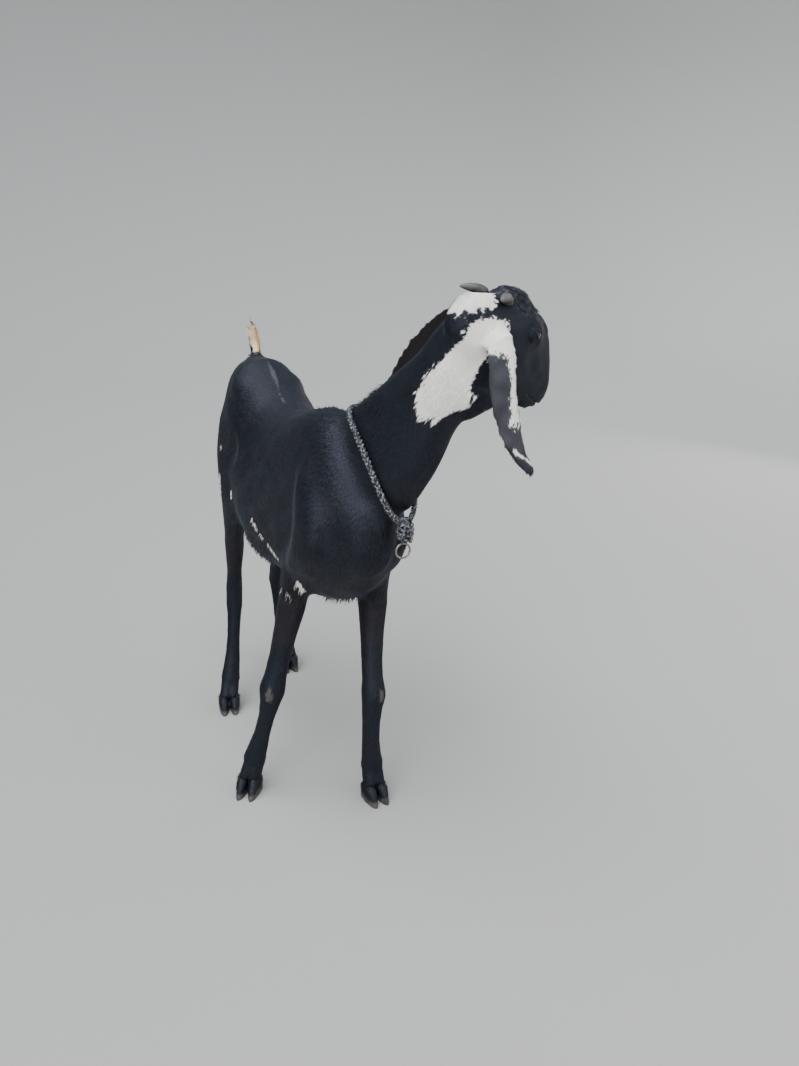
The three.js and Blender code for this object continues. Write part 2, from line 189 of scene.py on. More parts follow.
def rows_of(items: Sequence, name: str, width: int, kind: type = np.float32) -> np.ndarray:
    """Reads one property of all of a mesh's parts.

    Args:
        items: The mesh's vertices, edges, faces or the like.
        name: The property.
        width: How many numbers it has.
        kind: The numbers' type.

    Returns:
        A row for each part.
    """
    flat = np.zeros(len(items) * width, kind)
    items.foreach_get(name, flat)
    return flat.reshape(-1, width)


def vertices_of(piece: bpy.types.Object) -> np.ndarray:
    """Returns a mesh's vertices as rows of metres."""
    return rows_of(piece.data.vertices, "co", 3).astype(float)


def normals_of(piece: bpy.types.Object) -> np.ndarray:
    """Returns a mesh's vertex normals as rows."""
    return rows_of(piece.data.vertex_normals, "vector", 3).astype(float)


def move_vertices(piece: bpy.types.Object, points: np.ndarray) -> None:
    """Writes a mesh's vertices back and brings it up to date."""
    piece.data.vertices.foreach_set("co", points.astype(np.float32).ravel())
    piece.data.update()


def nearest(tree: BVHTree, points: np.ndarray) -> tuple[np.ndarray, np.ndarray, np.ndarray]:
    """Returns the surface's place, normal and face nearest to each point."""
    found = [tree.find_nearest(Vector(p)) for p in points]
    return tuple(np.array([hit[i] for hit in found]) for i in range(3))


def merged_copy(names: Sequence[str], title: str) -> bpy.types.Object:
    """Joins copies of CAD nodes into one new object with its loose triangles merged."""
    copies = []
    for name in names:
        copies.append(new_object(title, bpy.data.objects[name].data.copy()))
        copies[-1].data.materials.clear()
    merged = joined(title, copies)
    with editing(merged):
        bpy.ops.mesh.remove_doubles(threshold=0.01 * MM)
    return merged


def rounded_copy(node: str, title: str, voxel: float, passes: int) -> bpy.types.Object:
    """Copies a CAD node on an even mesh of some fineness, in millimetres, with its facets rounded."""
    piece = merged_copy([node], title)
    apply_modifier(piece, "REMESH", mode="VOXEL", voxel_size=voxel * MM, use_smooth_shade=True)
    apply_modifier(piece, "SMOOTH", factor=0.5, iterations=passes)
    return piece


def write_attribute(mesh: bpy.types.Mesh, name: str, values: np.ndarray) -> None:
    """Stores one number for each vertex under a name that materials read."""
    attribute = mesh.attributes.get(name) or mesh.attributes.new(name, "FLOAT", "POINT")
    attribute.data.foreach_set("value", values.astype(np.float32))


def finish_piece(piece: bpy.types.Object, material: bpy.types.Material, slot: str, *nodes: str) -> None:
    """Dresses a piece, rides it on the goat and hides the CAD nodes that it stands for.

    Args:
        piece: The finished object.
        material: Its finish.
        slot: Not used.
        nodes: The CAD nodes that it replaces.
    """
    piece.data.materials.clear()
    piece.data.materials.append(material)
    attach(piece, BODY)
    if nodes:
        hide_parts(*nodes)
    LOG.info("%s: %d faces", piece.name, len(piece.data.polygons))


# ---------------------------------------------------------------- finishes
def linear(code: str) -> tuple[float, float, float, float]:
    """Turns an sRGB hex colour, such as "#1A1C20", to linear light with an alpha of 1."""
    shares = [int(code[i : i + 2], 16) / 255 for i in (1, 3, 5)]
    return tuple(s / 12.92 if s <= 0.04045 else ((s + 0.055) / 1.055) ** 2.4 for s in shares) + (1.0,)


def fill_sockets(tree: bpy.types.NodeTree, node: bpy.types.Node, inputs: dict) -> None:
    """Gives a node's sockets their values, or links them to other nodes' outputs."""
    for name, value in inputs.items():
        if isinstance(value, Socket):
            tree.links.new(value, node.inputs[name])
        else:
            node.inputs[name].default_value = value


def add_node(
    tree: bpy.types.NodeTree,
    kind: str,
    inputs: dict | None = None,
    stops: Sequence[tuple[float, str]] = (),
    **settings,
) -> bpy.types.Node:
    """Adds one node with its settings, values and links.

    Args:
        tree: The material's node tree.
        kind: The node's type, such as "TexNoise", without the word that all types start with.
        inputs: Socket names or numbers, each with a value or an output socket to link.
        stops: Places and hex colours of a colour ramp.
        settings: The node's own properties.

    Returns:
        The new node.
    """
    node = tree.nodes.new("ShaderNode" + kind)
    for name, value in settings.items():
        setattr(node, name, value)
    fill_sockets(tree, node, inputs or {})
    for number, (position, code) in enumerate(stops):
        element = node.color_ramp.elements[number] if number < 2 else node.color_ramp.elements.new(position)
        element.position = position
        element.color = linear(code)
    return node


def layer(tree: bpy.types.NodeTree, below: Paint, share: Socket, above: Paint) -> Socket:
    """Lays one colour over another, each a value or a socket, by a share, and returns the mix's socket."""
    mix = add_node(tree, "Mix", {"Factor": share}, data_type="RGBA")
    for socket, colour in ((mix.inputs["A"], below), (mix.inputs["B"], above)):
        if isinstance(colour, Socket):
            tree.links.new(colour, socket)
        else:
            socket.default_value = colour
    return mix.outputs["Result"]


def attribute(tree: bpy.types.NodeTree, name: str) -> Socket:
    """Returns the socket of an attribute that a mesh carries."""
    return add_node(tree, "Attribute", attribute_name=name).outputs["Fac"]


def noise(tree: bpy.types.NodeTree, at: Socket, grain_mm: float, detail: float) -> Socket:
    """Returns the socket of a noise whose swells have a size in millimetres."""
    pattern = {"Vector": at, "Scale": 1000 / grain_mm, "Detail": detail}
    return add_node(tree, "TexNoise", pattern).outputs["Fac"]


def spread(tree: bpy.types.NodeTree, value: Socket, **ends: float) -> Socket:
    """Returns a value moved to another range, given as from_min, from_max, to_min and to_max."""
    sockets = {name.replace("_", " ").title(): end for name, end in ends.items()}
    return add_node(tree, "MapRange", {"Value": value, **sockets}).outputs["Result"]


def ramp(tree: bpy.types.NodeTree, value: Socket, *stops: tuple[float, str]) -> Socket:
    """Returns the colour that a ramp gives a value."""
    return add_node(tree, "ValToRGB", {"Fac": value}, stops=stops).outputs["Color"]


def product(tree: bpy.types.NodeTree, one: Socket, other: Socket) -> Socket:
    """Returns two values multiplied."""
    return add_node(tree, "Math", {0: one, 1: other}, operation="MULTIPLY").outputs["Value"]


def relief(tree: bpy.types.NodeTree, height: Socket, strength: float, depth_mm: float) -> Socket:
    """Returns the normal that a pattern's height gives."""
    sockets = {"Height": height, "Strength": strength, "Distance": depth_mm * MM}
    return add_node(tree, "Bump", sockets).outputs["Normal"]


def new_material(name: str, values: dict) -> tuple[bpy.types.Material, bpy.types.NodeTree, Socket]:
    """Makes a material with one surface shader.

    Args:
        name: The finish's name.
        values: The shader's sockets that keep one value all over.

    Returns:
        The material, its node tree, and the place of each point in the object's own coordinates.
    """
    material = bpy.data.materials.new(name)
    material.use_nodes = True
    tree = material.node_tree
    fill_sockets(tree, tree.nodes["Principled BSDF"], values)
    return material, tree, add_node(tree, "TexCoord").outputs["Object"]


def dress(material: bpy.types.Material, **sockets: Socket) -> bpy.types.Material:
    """Links what a finish has worked out to its shader, given as base_color, roughness and so on."""
    tree = material.node_tree
    named = {name.replace("_", " ").title(): socket for name, socket in sockets.items()}
    fill_sockets(tree, tree.nodes["Principled BSDF"], named)
    return material


@dataclass(frozen=True)
class GoatHair:
    """Short glossy goat hair. Each hair is a smooth dark rod, so it shines along its length, and the
    black ones look blue under an open sky and brown where the sun has bleached them."""

    name: str = "goat_hair"
    black: str = "#07080C"
    blue_black: str = "#0E121B"
    rust: str = "#1D1412"
    white: str = "#F8F6F1"
    cream: str = "#F0DFB8"
    # grey hair on the ear, and painted highlight along the spine and on the forelock
    grey: str = "#5C5B60"
    orange: str = "#DDA35F"
    skylight: str = "#D3DAF0"
    bloom: str = "#9DB2D6"
    roughness: float = 0.55
    ior: float = 1.55  # keratin
    shine: float = 0.42
    clump_mm: float = 26.0

    def build(self) -> bpy.types.Material:
        """Returns the material, which reads the marks and tint attributes."""
        values = {
            "Roughness": self.roughness,
            "IOR": self.ior,
            "Specular Tint": linear(self.skylight),
            "Specular IOR Level": self.shine,
            "Sheen Weight": 0.05,
            "Sheen Roughness": 0.4,
            "Sheen Tint": linear(self.bloom),
        }
        material, tree, here = new_material(self.name, values)
        clumps = noise(tree, here, self.clump_mm, 2.0)
        colour = layer(tree, linear(self.black), clumps, linear(self.blue_black))
        pale = layer(tree, linear(self.white), attribute(tree, "cream"), linear(self.cream))
        marks = (
            *(("rust", linear(self.rust)), ("grey", linear(self.grey))),
            *(("white", pale), ("orange", linear(self.orange))),
        )
        for name, mark in marks:
            colour = layer(tree, colour, attribute(tree, name), mark)
        value = spread(tree, attribute(tree, "tint"), to_min=0.86, to_max=1.12)
        shaded = add_node(tree, "HueSaturation", {"Color": colour, "Value": value})
        return dress(material, base_color=shaded.outputs["Color"])


@dataclass(frozen=True)
class GoatSkin:
    """The skin under the coat, with the short hair that lies flat on it. Hair marks run as fine
    streaks, and the bare rims of the lids, nostrils and lips are dark, leathery and a little wet."""

    name: str = "goat_skin"
    hair: GoatHair = field(default_factory=lambda: GoatHair(name="goat_skin", shine=0.3))
    bare: str = "#17130F"
    bare_grey: str = "#474240"
    hair_width_mm: float = 1.1  # a lock of a few hairs, as single ones don't show
    pore_mm: float = 0.9

    def build(self) -> bpy.types.Material:
        """Returns the material, which also reads the bare and callus attributes."""
        material = self.hair.build()
        tree = material.node_tree
        colour = tree.nodes["Principled BSDF"].inputs["Base Color"].links[0].from_socket
        bare = attribute(tree, "bare")
        colour = layer(tree, colour, bare, linear(self.bare))
        colour = layer(tree, colour, attribute(tree, "callus"), linear(self.bare_grey))
        here = add_node(tree, "TexCoord").outputs["Object"]
        stretched = add_node(tree, "Mapping", {"Vector": here, "Scale": (1.0, 0.35, 0.35)})
        streaks = noise(tree, stretched.outputs["Vector"], self.hair_width_mm, 3.0)
        pores = add_node(tree, "TexVoronoi", {"Vector": here, "Scale": 1000 / self.pore_mm})
        height = add_node(tree, "Mix", {"Factor": bare, "A": streaks, "B": pores.outputs["Distance"]})
        return dress(material, base_color=colour, normal=relief(tree, height.outputs["Result"], 0.35, 0.4))


@dataclass(frozen=True)
class Horn:
    """Keratin horn, grown in rings and worn dull: grey-brown in uneven patches, paler at the tip."""

    name: str = "horn_keratin"
    dark: str = "#2A2827"
    pale: str = "#504D4A"
    tip: str = "#5D5954"
    ring_mm: float = 3.2
    fibre_mm: float = 0.7
    roughness: float = 0.48
    ior: float = 1.54

    def build(self) -> bpy.types.Material:
        """Returns the material, which reads the along attribute, from the root at 0 to the tip at 1."""
        material, tree, here = new_material(self.name, {"IOR": self.ior})
        fibres = noise(tree, here, self.fibre_mm, 2.0)
        body = ramp(tree, noise(tree, here, 4 * self.ring_mm, 4.0), (0.32, self.dark), (0.68, self.pale))
        tip = spread(tree, attribute(tree, "along"), from_min=0.55, from_max=1.0)
        return dress(
            material,
            base_color=layer(tree, body, tip, linear(self.tip)),
            roughness=spread(tree, fibres, to_min=self.roughness - 0.1, to_max=self.roughness + 0.15),
            normal=relief(tree, fibres, 0.4, 0.25),
        )


@dataclass(frozen=True)
class Hoof:
    """Hoof horn: the same keratin, grown down in fine level rings, dusty and scuffed at the ground."""

    name: str = "hoof_keratin"
    dark: str = "#17171A"
    brown: str = "#403E40"
    dust: str = "#77726B"
    hair: str = "#0A0B10"  # where the coat grows over the top of a claw
    ring_mm: float = 2.2
    blotch_mm: float = 1000 / 110
    dust_height_mm: float = 9.0
    roughness: float = 0.5
    shine: float = 0.22
    ior: float = 1.54

    def build(self) -> bpy.types.Material:
        """Returns the material, which reads the haired attribute."""
        values = {"IOR": self.ior, "Specular IOR Level": self.shine, "Roughness": self.roughness}
        material, tree, here = new_material(self.name, values)
        grown = {"Vector": here, "Scale": 1000 / self.ring_mm / 20, "Distortion": 2.5, "Detail": 2.0}
        rings = add_node(tree, "TexWave", grown, wave_type="BANDS", bands_direction="Z").outputs["Fac"]
        blotches = noise(tree, here, self.blotch_mm, 4.0)
        base = ramp(tree, product(tree, rings, blotches), (0.1, self.dark), (0.6, self.brown))
        height = add_node(tree, "SeparateXYZ", {"Vector": here}).outputs["Z"]
        low = spread(tree, height, from_min=self.dust_height_mm * MM, from_max=0.0, to_max=0.7)
        colour = layer(tree, base, product(tree, low, blotches), linear(self.dust))
        colour = layer(tree, colour, attribute(tree, "haired"), linear(self.hair))
        return dress(material, base_color=colour, normal=relief(tree, rings, 0.5, 0.4))


@dataclass(frozen=True)
class WetEye:
    """A living eye: a clear wet surface over a dark amber iris with a level, slot-shaped pupil."""

    name: str = "goat_eye"
    pupil: str = "#020203"
    inner: str = "#2A180A"
    outer: str = "#0F0904"
    white: str = "#120C09"
    ior: float = 1.376  # cornea
    roughness: float = 0.04

    def build(self) -> bpy.types.Material:
        """Returns the material, which reads the iris and pupil attributes."""
        values = {
            "IOR": self.ior,
            "Roughness": self.roughness,
            "Specular IOR Level": 0.35,
            "Coat Weight": 0.1,
            "Coat Roughness": 0.02,
        }
        material, tree, _ = new_material(self.name, values)
        stops = ((0.0, self.white), (0.3, self.outer), (0.8, self.inner))
        iris = ramp(tree, attribute(tree, "iris"), *stops)
        return dress(material, base_color=layer(tree, iris, attribute(tree, "pupil"), linear(self.pupil)))


@dataclass(frozen=True)
class Cord:
    """Plaited polypropylene cord, spun from fine tape: greyed black with paler worn filaments."""

    name: str = "plaited_cord"
    dark: str = "#0D0E11"
    grey: str = "#35393F"
    pale: str = "#93979A"
    filament_mm: float = 1.2
    fleck_mm: float = 1000 / 230
    slant: float = math.radians(32)
    roughness: float = 0.62
    ior: float = 1.49  # polypropylene

    def build(self) -> bpy.types.Material:
        """Returns the material. The UV map's first axis runs along the strand, in metres."""
        material, tree, here = new_material(self.name, {"IOR": self.ior, "Roughness": self.roughness})
        strand = add_node(tree, "UVMap", uv_map="Strand").outputs["UV"]
        turned = {"Vector": strand, "Rotation": (0.0, 0.0, self.slant), "Scale": (0.25, 1.0, 1.0)}
        filaments = noise(tree, add_node(tree, "Mapping", turned).outputs["Vector"], self.filament_mm, 3.0)
        mixed = {"Factor": 0.45, "A": filaments, "B": noise(tree, here, self.fleck_mm, 2.0)}
        worn = add_node(tree, "Mix", mixed).outputs["Result"]
        colour = ramp(tree, worn, (0.45, self.dark), (0.53, self.grey), (0.62, self.pale))
        return dress(material, base_color=colour, normal=relief(tree, filaments, 0.8, 0.5))


@dataclass(frozen=True)
class WornSteel:
    """Welded steel wire, its zinc worn off: dull grey with brown specks of rust in the pits."""

    name: str = "worn_steel"
    steel: str = "#8E8A84"
    rust: str = "#4A3324"
    pit_mm: float = 1.6

    def build(self) -> bpy.types.Material:
        """Returns the material."""
        material, tree, here = new_material(self.name, {})
        pits = noise(tree, here, self.pit_mm, 4.0)
        rust = spread(tree, pits, from_min=0.52, from_max=0.66)
        return dress(
            material,
            base_color=layer(tree, linear(self.steel), rust, linear(self.rust)),
            metallic=spread(tree, rust, to_min=1.0, to_max=0.1),
            roughness=spread(tree, pits, to_min=0.25, to_max=0.6),
        )


# ---------------------------------------------------------------- the head's own frame
@dataclass
class HeadFrame:
    """Axes of the turned head: along the nose, to its left, and out of the forehead, from the poll.

    Its own lengths are millimetres of a head that the model has slightly enlarged.
    """

    poll: Triple = (203.0, -184.0, 914.0)
    nose: Triple = (0.79, 0.4, -0.46)
    left: Triple = (-0.34, 0.92, 0.17)
    scale: float = 1.06

    def __post_init__(self) -> None:
        """Squares the axes."""
        nose = unit(np.array(self.nose))
        left = np.array(self.left)
        left = unit(left - nose * (left @ nose))
        self.axes = np.stack([nose, left, np.cross(nose, left)])
        self.origin = place(self.poll)

    def world(self, points: Sequence) -> np.ndarray:
        """Turns the head's own millimetres to metres in the row frame."""
        return np.asarray(points, float) @ self.axes * self.scale * MM + self.origin

    def local(self, points: np.ndarray) -> np.ndarray:
        """Turns metres in the row frame to the head's own millimetres."""
        return (points - self.origin) @ self.axes.T / (self.scale * MM)

    def direction(self, nose: float, left: float, crown: float) -> np.ndarray:
        """Returns a unit direction given along the head's three axes."""
        return unit(np.array([nose, left, crown]) @ self.axes)


HEAD = HeadFrame()


# ---------------------------------------------------------------- markings
@dataclass(frozen=True)
class Blaze:
    """A white patch with an outline drawn on one side of the goat, with hairy edges.

    The outline is in millimetres: along the side, a level axis, and up. Only skin that lies further
    out to that side than depth is marked.
    """

    outline: tuple[tuple[float, float], ...]
    level: tuple[float, float]
    depth: float
    fringe: float = 3.2

    def share(self, points: np.ndarray) -> np.ndarray:
        """Returns how white each point is, from 0 to 1."""
        goat = to_goat(points)
        level = unit(np.array(self.level))
        along = goat[:, :2] @ level
        out = goat[:, :2] @ np.array([level[1], -level[0]])
        here = np.stack([along, goat[:, 2]], axis=1)
        here = here + self.fringe * np.stack([ripple(points, 0.009, 1.0), ripple(points, 0.007, 4.0)], axis=1)
        ring = np.array(self.outline)
        inside = np.zeros(len(points), bool)
        away = np.full(len(points), 1e9)
        for start, end in zip(ring, np.roll(ring, -1, axis=0)):
            crosses = (start[1] > here[:, 1]) != (end[1] > here[:, 1])
            drop = end[1] - start[1] if abs(end[1] - start[1]) > 1e-9 else 1e-9
            reach = start[0] + (here[:, 1] - start[1]) / drop * (end[0] - start[0])
            inside ^= crosses & (here[:, 0] < reach)
            edge = end - start
            step = np.clip(((here - start) @ edge) / (edge @ edge), 0, 1)
            away = np.minimum(away, np.linalg.norm(here - start - step[:, None] * edge, axis=1))
        return smooth_step(np.where(inside, away, -away), -1.2, 1.2) * (out > self.depth)


@dataclass(frozen=True)
class Fleck:
    """A small stroke of white hair between two places, in the goat's own frame."""

    start: Triple
    end: Triple
    radius: float = 5.0

    def share(self, points: np.ndarray) -> np.ndarray:
        """Returns how white each point is, from 0 to 1."""
        start, end = place(self.start), place(self.end)
        edge = end - start
        step = np.clip(((points - start) @ edge) / max(edge @ edge, 1e-12), 0, 1)
        gap = np.linalg.norm(points - start - step[:, None] * edge, axis=1) / MM
        wobble = self.radius * (1 + 0.28 * ripple(points, 0.013, 2.0))
        return 1.0 - smooth_step(gap - wobble, -0.6, 0.6)


@dataclass
class Markings:
    """Where the goat is white, grey, rusty or orange; the grey along the spine and on the forelock is painted
    highlight. Skin and coat read the same marks.
    """

    # each row is a run of the outline of the white on the neck: its upper edge, cheek, throat and back
    neck_side: Blaze = Blaze(
        outline=(
            *((252, 846), (260, 866), (271, 876), (288, 880), (304, 876), (311, 862)),
            *((304, 843), (290, 836), (279, 818), (269, 801), (263, 786), (260, 779)),
            *((271, 770), (264, 762), (250, 754), (236, 747), (214, 738), (192, 734)),
            *((186, 748), (184, 766), (198, 792), (216, 815), (236, 834)),
        ),
        level=(0.766, -0.649),
        depth=18.0,
    )
    streaks: tuple[Fleck, ...] = (
        Fleck((176, -203, 768), (150, -190, 738), 2.2),
        Fleck((182, -206, 772), (160, -196, 748), 2.0),
        Fleck((150, -188, 752), (132, -172, 730), 3.0),
    )
    poll: tuple[Fleck, ...] = (
        Fleck((152, -196, 898), (196, -186, 908), 17.0),
        Fleck((166, -208, 896), (192, -204, 903), 13.0),
    )
    flecks: tuple[Fleck, ...] = (
        Fleck((-76, 356, 499), (-77, 355, 487), 3.6),
        Fleck((-93, 417, 518), (-93, 414, 486), 6.5),
        Fleck((-72, 356, 614), (-71, 352, 607), 2.6),
        Fleck((-87, 420, 580), (-86, 415, 575), 2.6),
        Fleck((-63, 212, 484), (-58, 190, 472), 3.0),
        Fleck((-55, 178, 466), (-53, 168, 461), 2.2),
        Fleck((-46, 150, 452), (-34, 124, 433), 2.8),
        Fleck((-34, 124, 433), (-40, 100, 418), 2.0),
        Fleck((-40, 100, 418), (-37, 68, 398), 2.8),
        Fleck((-34, 50, 398), (-28, 42, 390), 2.8),
        Fleck((-22, 19, 427), (-9, 29, 408), 4.6),
        Fleck((104, -143, 734), (102, -141, 729), 1.0),
    )
    ear_edge: tuple[Fleck, ...] = (
        Fleck((224, -248, 705), (232, -248, 697), 2.6),
        Fleck((232, -248, 697), (252, -242, 686), 2.4),
        Fleck((252, -242, 686), (262, -238, 676), 2.6),
    )
    # painted highlight: grey strokes along the backbone stand for the sheen where the hair parts there
    spine_sheen: tuple[Fleck, ...] = (
        Fleck((16, 470, 752), (20, 400, 730), 3.5),
        Fleck((20, 400, 730), (24, 320, 686), 3.5),
        Fleck((24, 320, 686), (32, 245, 680), 3.0),
    )
    ear_white_z: float = 834.0
    ear_stripe_end_z: float = 738.0
    tail_base_z: float = 748.0
    tail_edge_z: float = 770.0
    poll_at: Triple = (50, 0, 14)  # the middle of the painted grey highlights on the forelock's curls, in the head's own frame

    def read(self, points: np.ndarray, region: np.ndarray) -> dict[str, np.ndarray]:
        """Reads every mark at some places.

        Args:
            points: Places on or near the skin, in metres.
            region: The name of the CAD node nearest to each place.

        Returns:
            The white, grey, rust, orange and cream shares by name; grey carries painted highlights as well as
            grey hair.
        """
        goat = to_goat(points)
        on_tail, on_right_ear = region == "tail", region == "ear_right"
        on_ears = np.char.startswith(region, "ear")
        white = self.neck_side.share(points) * ~np.isin(region, ("ear_left", "trunk"))
        for mark in (*self.streaks, *self.poll, *self.flecks):
            white = np.maximum(white, mark.share(points) * ~on_ears)
        white = np.where(on_right_ear, self.ear_white(goat, points), white)
        middle = np.interp(goat[:, 2], (748, 776, 800, 822), (8, 5, 1, -3))
        start = np.interp(np.abs(goat[:, 0] - middle), (3.0, 8.0), (self.tail_base_z, self.tail_edge_z))
        tail_white = smooth_step(goat[:, 2] + 5 * ripple(points, 0.012) - start, 0.0, 7.0)
        white = np.where(on_tail, tail_white, white)
        orange = on_tail * smooth_step(goat[:, 0] - middle + 2 * ripple(points, 0.01, 3.0), 1.0, 5.0)
        orange = 0.8 * orange * (goat[:, 2] > self.tail_edge_z - 8)
        # the outside of the ear is grey down to the fold near its tip, and black below it
        fold = goat[:, 2] - np.interp(goat[:, 0], (205, 262), (719, 676))
        grey = (0.42 - 0.12 * ripple(points, 0.03)) * on_right_ear
        grey *= 0.25 + 0.75 * smooth_step(fold, -6.0, 0.0)
        # the grey along the backbone is painted highlight, not grey hair
        for mark in self.spine_sheen:
            grey = np.maximum(grey, 0.4 * mark.share(points) * (region == "trunk"))
        for mark in self.ear_edge:
            white = np.maximum(white, 0.72 * mark.share(points) * on_right_ear)
        # painted highlights: grey glints on the curls of the forelock, not greying hair
        from_crown = np.linalg.norm(HEAD.local(points) - np.array(self.poll_at), axis=1)
        crown = smooth_step(1 - from_crown / 46, 0.0, 0.3)
        crown = crown * np.clip(0.1 + 0.4 * ripple(points, 0.009, 6.0), 0, 0.5) * (region == "head")
        grey = np.maximum(grey, crown)
        low = 1.0 - smooth_step(goat[:, 2] + 30 * ripple(points, 0.12), 330, 520)
        chest = low * (goat[:, 2] > 300) * ~on_ears
        rust = np.clip(0.55 * chest + 0.18 * (ripple(points, 0.09, 2.0) > 0.35), 0, 1)
        rust = np.where(region == "ear_left", 0.85, rust)
        cream = 0.12 + 0.8 * on_tail
        return {"white": white, "grey": np.clip(grey, 0, 1), "rust": rust, "orange": orange, "cream": cream}

    def ear_white(self, goat: np.ndarray, points: np.ndarray) -> np.ndarray:
        """Returns the white of the right ear: its root, and a stripe down its front edge."""
        height = goat[:, 2]
        middle = np.interp(height, (670, 695, 728, 768, 815, 850, 866), (259, 237, 222, 209, 202, 202, 200))
        root = smooth_step(height + 4 * ripple(points, 0.008), self.ear_white_z - 3, self.ear_white_z + 3)
        inner = np.interp(height, (700, 738, 752, 800, 843), (12, -4, 3, 9, 2))
        forward = goat[:, 0] - middle
        stripe = smooth_step(forward + 1.5 * ripple(points, 0.006, 5.0), inner - 1.0, inner + 1.5)
        down = height + 5 * ripple(points, 0.008, 2.0)
        stripe *= smooth_step(down, self.ear_stripe_end_z - 6, self.ear_stripe_end_z + 4)
        return np.maximum(root, stripe)


# ---------------------------------------------------------------- the skin
@dataclass(frozen=True)
class Swell:
    """A muscle, bone or hollow under the skin: the skin rises by height over it, or sinks if negative."""

    at: Triple
    radii: Triple
    height: float
    on_head: bool = False

    def rise(self, points: np.ndarray) -> np.ndarray:
        """Returns how far each point rises, in metres."""
        own = HEAD.local(points) if self.on_head else to_goat(points)
        reach = (((own - np.array(self.at)) / np.array(self.radii)) ** 2).sum(axis=1)
        return np.where(reach < 1, (1 - np.minimum(reach, 1)) ** 2, 0) * self.height * MM


def both_sides(at: Triple, radii: Triple, height: float) -> tuple[Swell, Swell]:
    """Returns a swell of the head and its mirror image."""
    return Swell(at, radii, height, True), Swell((at[0], -at[1], at[2]), radii, height, True)


@dataclass
class EyeShape:
    """One eye: its ball, the way it looks, and the almond opening of its lids, in millimetres."""

    side: str
    half_width: float = 8.8
    half_up: float = 4.3
    half_down: float = 3.5
    lid: float = 1.1

    def __post_init__(self) -> None:
        """Finds the ball's middle and size from its node."""
        low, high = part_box(f"eye_{self.side}")
        self.middle = np.array((low + high) / 2)
        self.radius = max(high - low) / 2
        sign = SIDES[self.side]
        self.look = HEAD.direction(0.38, 0.92 * sign, 0.08)
        corner = HEAD.direction(0.92, -0.38 * sign, -0.3)
        self.corner = unit(corner - self.look * (corner @ self.look))
        self.up = np.cross(self.look, self.corner)
        if self.up @ HEAD.axes[2] < 0:
            self.up = -self.up

    def rim_share(self, across: np.ndarray, up: np.ndarray) -> np.ndarray:
        """Returns where a place lies in the opening: below 1 inside it, above 1 on the lids."""
        half = np.where(up > 0, self.half_up, self.half_down)
        return ((np.abs(across) / self.half_width) ** 1.7 + (np.abs(up) / half) ** 1.9) ** (1 / 1.8)

    def rim(self, count: int = 48) -> np.ndarray:
        """Returns the points of the lids' edge, just proud of the ball, in metres."""
        angles = np.linspace(0, 2 * math.pi, count, endpoint=False)
        across = np.cos(angles)
        up = np.sin(angles)
        scale = 1 / self.rim_share(across * self.half_width, up * self.half_up)
        half = np.where(up > 0, self.half_up, self.half_down)
        flat = np.stack([across * self.half_width * scale, up * half * scale], axis=1) * MM
        # rim_share is not linear in its size, so more steps bring the points onto the edge
        for _ in range(3):
            flat /= self.rim_share(flat[:, 0] / MM, flat[:, 1] / MM)[:, None]
        out = np.sqrt(np.maximum(self.radius**2 - (flat**2).sum(axis=1), (0.2 * self.radius) ** 2))
        return self.middle + self.ray(flat, out) * (self.radius + 0.35 * MM)

    def ray(self, flat: np.ndarray, out: np.ndarray) -> np.ndarray:
        """Returns the directions of places given across, up and out of the eye."""
        return unit(flat[:, :1] * self.corner + flat[:, 1:] * self.up + out[:, None] * self.look)

    def fit_lids(self, points: np.ndarray) -> tuple[np.ndarray, np.ndarray]:
        """Draws the skin near the eye over the ball as lids, and behind it inside the opening.

        Args:
            points: The skin's vertices, in metres.

        Returns:
            The vertices, with those near the eye moved, and how bare each one is.
        """
        rays = points - self.middle
        distance = np.linalg.norm(rays, axis=1)
        heading = unit(rays)
        near = (distance < self.radius + 13 * MM) & (heading @ self.look > 0.0)
        flat = np.stack([heading @ self.corner, heading @ self.up], axis=1) * self.radius
        share = self.rim_share(flat[:, 0] / MM, flat[:, 1] / MM)
        edge = near & (share > 0.88) & (share < 1.08)
        flat[edge] /= share[edge][:, None]
        out = np.sqrt(np.maximum(self.radius**2 - (flat**2).sum(axis=1), 0))
        heading = np.where(edge[:, None], self.ray(flat, out), heading)
        lid_height = self.radius + self.lid * MM + 0.9 * MM * np.exp(-(((share - 1.32) / 0.16) ** 2))
        blend = smooth_step(share, 1.25, 2.0)
        outside = np.maximum(lid_height * (1 - blend) + distance * blend, self.radius + 0.9 * MM)
        reach = np.where(share < 0.88, np.minimum(distance, self.radius - 2.0 * MM), outside)
        reach = np.where(edge, self.radius + 0.5 * MM, reach)
        points = np.where(near[:, None], self.middle + heading * reach[:, None], points)
        rays = points - self.middle
        heading = unit(rays)
        share = self.rim_share(heading @ self.corner * self.radius / MM, heading @ self.up * self.radius / MM)
        lined = (np.linalg.norm(rays, axis=1) < self.radius + 2.2 * MM) * (heading @ self.look > 0)
        return points, lined * (1 - smooth_step(share, 1.02, 1.12))


def flesh_names() -> list[str]:
    """Returns the CAD nodes that the one skin stands for."""
    names = ["head", "neck", "trunk", "tail", "ear_right", "ear_left"]
    return names + [f"{leg}_{part}_leg" for leg in LEGS for part in ("upper", "lower")]


